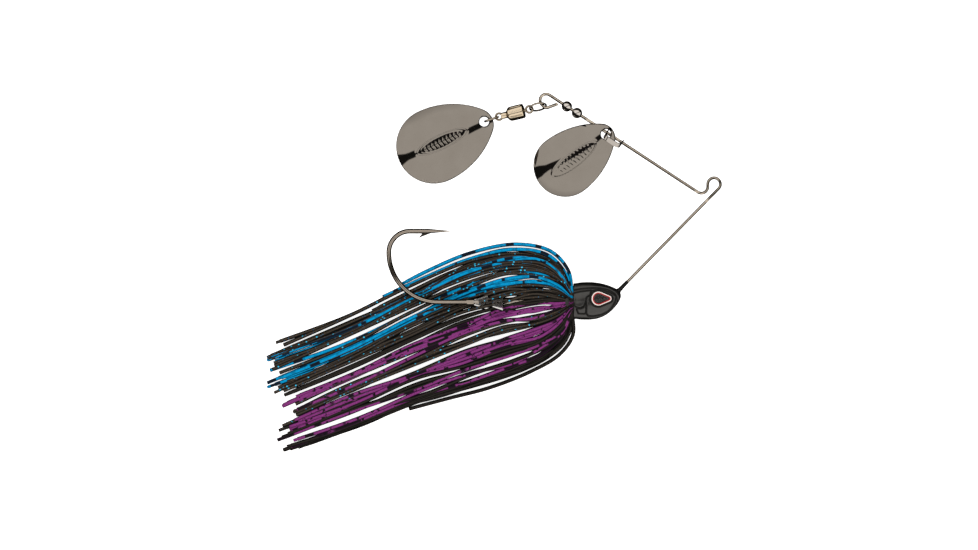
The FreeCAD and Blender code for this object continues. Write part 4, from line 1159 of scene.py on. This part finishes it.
BARREL_SIDES = 144
outside = [(1.65, 1.6), (1.65, 1.88), (1.68, 1.98), (1.75, 2.05), (1.86, 2.08), (1.95, 2.08)]
outside += [(1.95 + 3.5 * k / 24, 2.08 + 0.02 * math.sin(math.pi * k / 24)) for k in range(1, 25)]
outside += [(5.7, 2.03), (5.95, 1.9), (6.2, 1.68), (6.42, 1.4), (6.56, 1.16), (6.7, 1.0), (6.9, 0.95),
            (7.6, 0.94), (8.2, 0.95), (8.3, 0.91), (8.35, 0.8), (8.35, 0.02)]
points, faces = turned([(5.0, 0.02), (5.0, 1.55), (1.7, 1.55)] + outside, BARREL_SIDES, fluted)
faces.append(tuple(range(BARREL_SIDES)))
faces.append(tuple(reversed(range(len(points) - BARREL_SIDES, len(points)))))
swivel_place = heading_matrix(Vector(JOINTS["swivel_spin"]["pos_m"]) / MM, 193.1, 12.0)
barrel = make_mesh("swivel_barrel_turned", placed(points, swivel_place), faces)
dress(barrel, MATS["swivel"], "swivel_barrel", "swivel_barrel", slot="swivel_metal")


# ---- metals on the CAD nodes

def give(node_name, material):
    """Puts a material on a carried-over CAD node."""
    for held in frame["nodes"][node_name].material_slots:
        held.material = material


for node_name, key in {
    "hook": "hook", "wire_form": "wire", "bead_rear": "bead", "bead_front": "bead",
    "clevis": "clevis", "loop_ring": "ring", "blade_ring": "ring", "swivel_stem": "ring",
    "swivel_rear_eye": "ring", "swivel_cap": "swivel", "swivel_balls": "ball",
}.items():
    give(node_name, MATS[key])
# These pieces are left out of reflections, to keep dark marks off the blades.
for made in bpy.data.objects:
    if made.name.startswith(("eye_", "neck", "band_", "keeper_", "head")) and made.type == "MESH":
        made.visible_glossy = False
for node_name in ("hook", "wire_form"):
    frame["nodes"][node_name].visible_glossy = False


# ---- floor, lights, camera

floor_data = bpy.data.meshes.new("floor")
FLOOR_REACH = 3.0                            # metres
corners = [(FLOOR_REACH * x, FLOOR_REACH * y, 0) for x, y in ((-1, -1), (1, -1), (1, 1), (-1, 1))]
floor_data.from_pydata(corners, [], [(0, 1, 2, 3)])
floor = bpy.data.objects.new("floor", floor_data)
bpy.context.collection.objects.link(floor)
floor.location.z = -0.00002
floor_material, floor_tree, floor_shader = new_material("floor_pale", (0.94, 0.94, 0.94), Roughness=0.9)
grain = noise_tex(floor_tree, object_coords(floor_tree, 60.0), 1.0, 2.0)
link(floor_tree, ramp(floor_tree, grain, [(0.3, 0.93), (0.7, 0.95)]), floor_shader.inputs["Base Color"])
floor.data.materials.append(floor_material)
socket(floor_shader, "Emission Color", (1, 1, 1, 1))
socket(floor_shader, "Emission Strength", 0.92)
floor.visible_glossy = False
floor.visible_diffuse = False

# Low black cards on both sides of the thin metal, seen only in reflections, draw its edges.
CARD_BLACK, tree, shader = new_material("card_black", (0.002, 0.002, 0.002), Roughness=1.0)
CARD_REACH = 0.0055                          # metres, so that the blades do not mirror the cards
ray = node(tree, "ShaderNodeLightPath").outputs["Ray Length"]
link(tree, math_node(tree, "LESS_THAN", ray, CARD_REACH), shader.inputs["Alpha"])


def cards(name, knots, gap, high):
    """A pair of upright cards, gap to each side of a line seen from above, up to a height."""
    path = smooth_path([layout(x, y, 0) for x, y in knots], 1.0)
    for side in (1, -1):
        corners, faces = [], []
        for point, along in zip(path, tangents(path)):
            foot = point + Vector((-along.y, along.x, 0)) * gap * side
            corners += [(foot.x, foot.y, 0), (foot.x, foot.y, high)]
        for i in range(len(path) - 1):
            faces.append((2 * i, 2 * i + 2, 2 * i + 3, 2 * i + 1))
        card = make_mesh(f"{name}_{'left' if side > 0 else 'right'}", corners, faces)
        card.data.materials.append(CARD_BLACK)
        for ray in ("camera", "diffuse", "shadow", "transmission", "volume_scatter"):
            setattr(card, f"visible_{ray}", False)


cards("card_hook", [(-36.0, 20.0), (-42.0, 20.3), (-47.0, 19.9), (-50.2, 18.2), (-52.2, 15.4),
                    (-52.7, 12.0), (-51.6, 8.2), (-49.2, 4.8), (-45.6, 1.8), (-40.5, 0.2),
                    (-34.8, -0.1), (-30.0, 0.0)], 2.4, 7.0)
cards("card_leg", [(13.0, 3.2), (26.0, 16.5), (38.0, 28.8)], 2.0, 7.6)
cards("card_arm", [(35.6, 32.6), (20.0, 42.8), (14.0, 46.7)], 2.0, 7.6)
cards("card_tip", [(4.6, 52.9), (-1.0, 56.5), (-6.5, 60.1)], 2.0, 7.6)
cards("card_bend", [(37.6, 30.2), (41.3, 33.6), (42.2, 34.8), (40.8, 35.6), (39.0, 35.1),
                    (38.8, 33.1), (37.3, 31.4)], 1.7, 7.2)
cards("card_loop", [(-4.6, 56.4), (-7.7, 55.6), (-9.1, 57.6), (-7.7, 59.4)], 1.9, 7.2)
cards("card_swivel", [(-5.0, 57.0), (-13.0, 54.9), (-20.0, 53.3)], 3.4, 5.6)

# The sky is a soft white tent with a narrow dark gap overhead, open to the dark below the
# horizon except on the side that the blades face.
STRIP_HEADING = 21.0
OPEN_HEADING = 235.0
world = bpy.data.worlds.new("studio")
world.use_nodes = True
bpy.context.scene.world = world
tree = world.node_tree
background = tree.nodes["Background"]
coords = node(tree, "ShaderNodeTexCoord")
parts = node(tree, "ShaderNodeSeparateXYZ")
link(tree, coords.outputs["Generated"], parts.inputs["Vector"])


def toward(heading):
    """How far a direction of the sky leans towards a heading."""
    turn = math.radians(heading)
    made = node(tree, "ShaderNodeVectorMath", operation="DOT_PRODUCT")
    link(tree, coords.outputs["Generated"], made.inputs[0])
    made.inputs[1].default_value = (math.cos(turn), math.sin(turn), 0)
    return made.outputs["Value"]


off_strip = math_node(tree, "ABSOLUTE", toward(STRIP_HEADING + 90))
flare = math_node(tree, "MAXIMUM", math_node(tree, "SUBTRACT", 0.45, parts.outputs["Z"]), 0.0)
flare = math_node(tree, "MINIMUM", flare, 0.32)
off_strip = math_node(tree, "SUBTRACT", off_strip, math_node(tree, "MULTIPLY", flare, 0.2))
gap = ramp(tree, off_strip, [(0.095, 0.02), (0.125, 1.0)])
lift = ramp(tree, math_node(tree, "ADD", toward(OPEN_HEADING), 0.2), [(0.0, 0.0), (0.4, 1.0)])
height = math_node(tree, "MULTIPLY_ADD", lift, 0.36, parts.outputs["Z"])
dome = ramp(tree, height, [(0.0, 0.0), (0.09, 0.72), (0.45, 1.0)])
warm = mix_color(tree, 1.0, dome, (1.0, 0.955, 0.9), "MULTIPLY")
light = mix_color(tree, 1.0, warm, gap, "MULTIPLY")
link(tree, light, background.inputs["Color"])
background.inputs["Strength"].default_value = 0.95


def area_light(name, place, target, size, power, glossy):
    data = bpy.data.lights.new(name, "AREA")
    data.shape, data.size, data.energy = "SQUARE", size, power
    lamp = bpy.data.objects.new(name, data)
    bpy.context.collection.objects.link(lamp)
    lamp.location = place
    lamp.rotation_euler = (Vector(target) - Vector(place)).to_track_quat("-Z", "Y").to_euler()
    lamp.visible_glossy = glossy
    return lamp


area_light("overhead", (0.1, 0.1, 1.6), (0, 0, 0), 1.8, 9.0, False)
area_light("side", (-0.9, 0.7, 0.9), (0, 0, 0), 0.7, 2.5, False)

camera_data = bpy.data.cameras.new("camera")
camera = bpy.data.objects.new("camera", camera_data)
bpy.context.collection.objects.link(camera)
bpy.context.scene.camera = camera
HEIGHT = 1.3
VIEW_WIDTH = 278.7 * MM
view_centre = layout(-23.66, 7.7, PLANE) * MM
camera.location = (view_centre.x, view_centre.y, HEIGHT)
camera.rotation_euler = (0, 0, 0)
camera_data.sensor_width = 36
camera_data.lens = 36 * (HEIGHT - view_centre.z) / VIEW_WIDTH
camera_data.clip_end = 20
bpy.context.scene.view_settings.view_transform = "Standard"

bpy.context.view_layer.update()
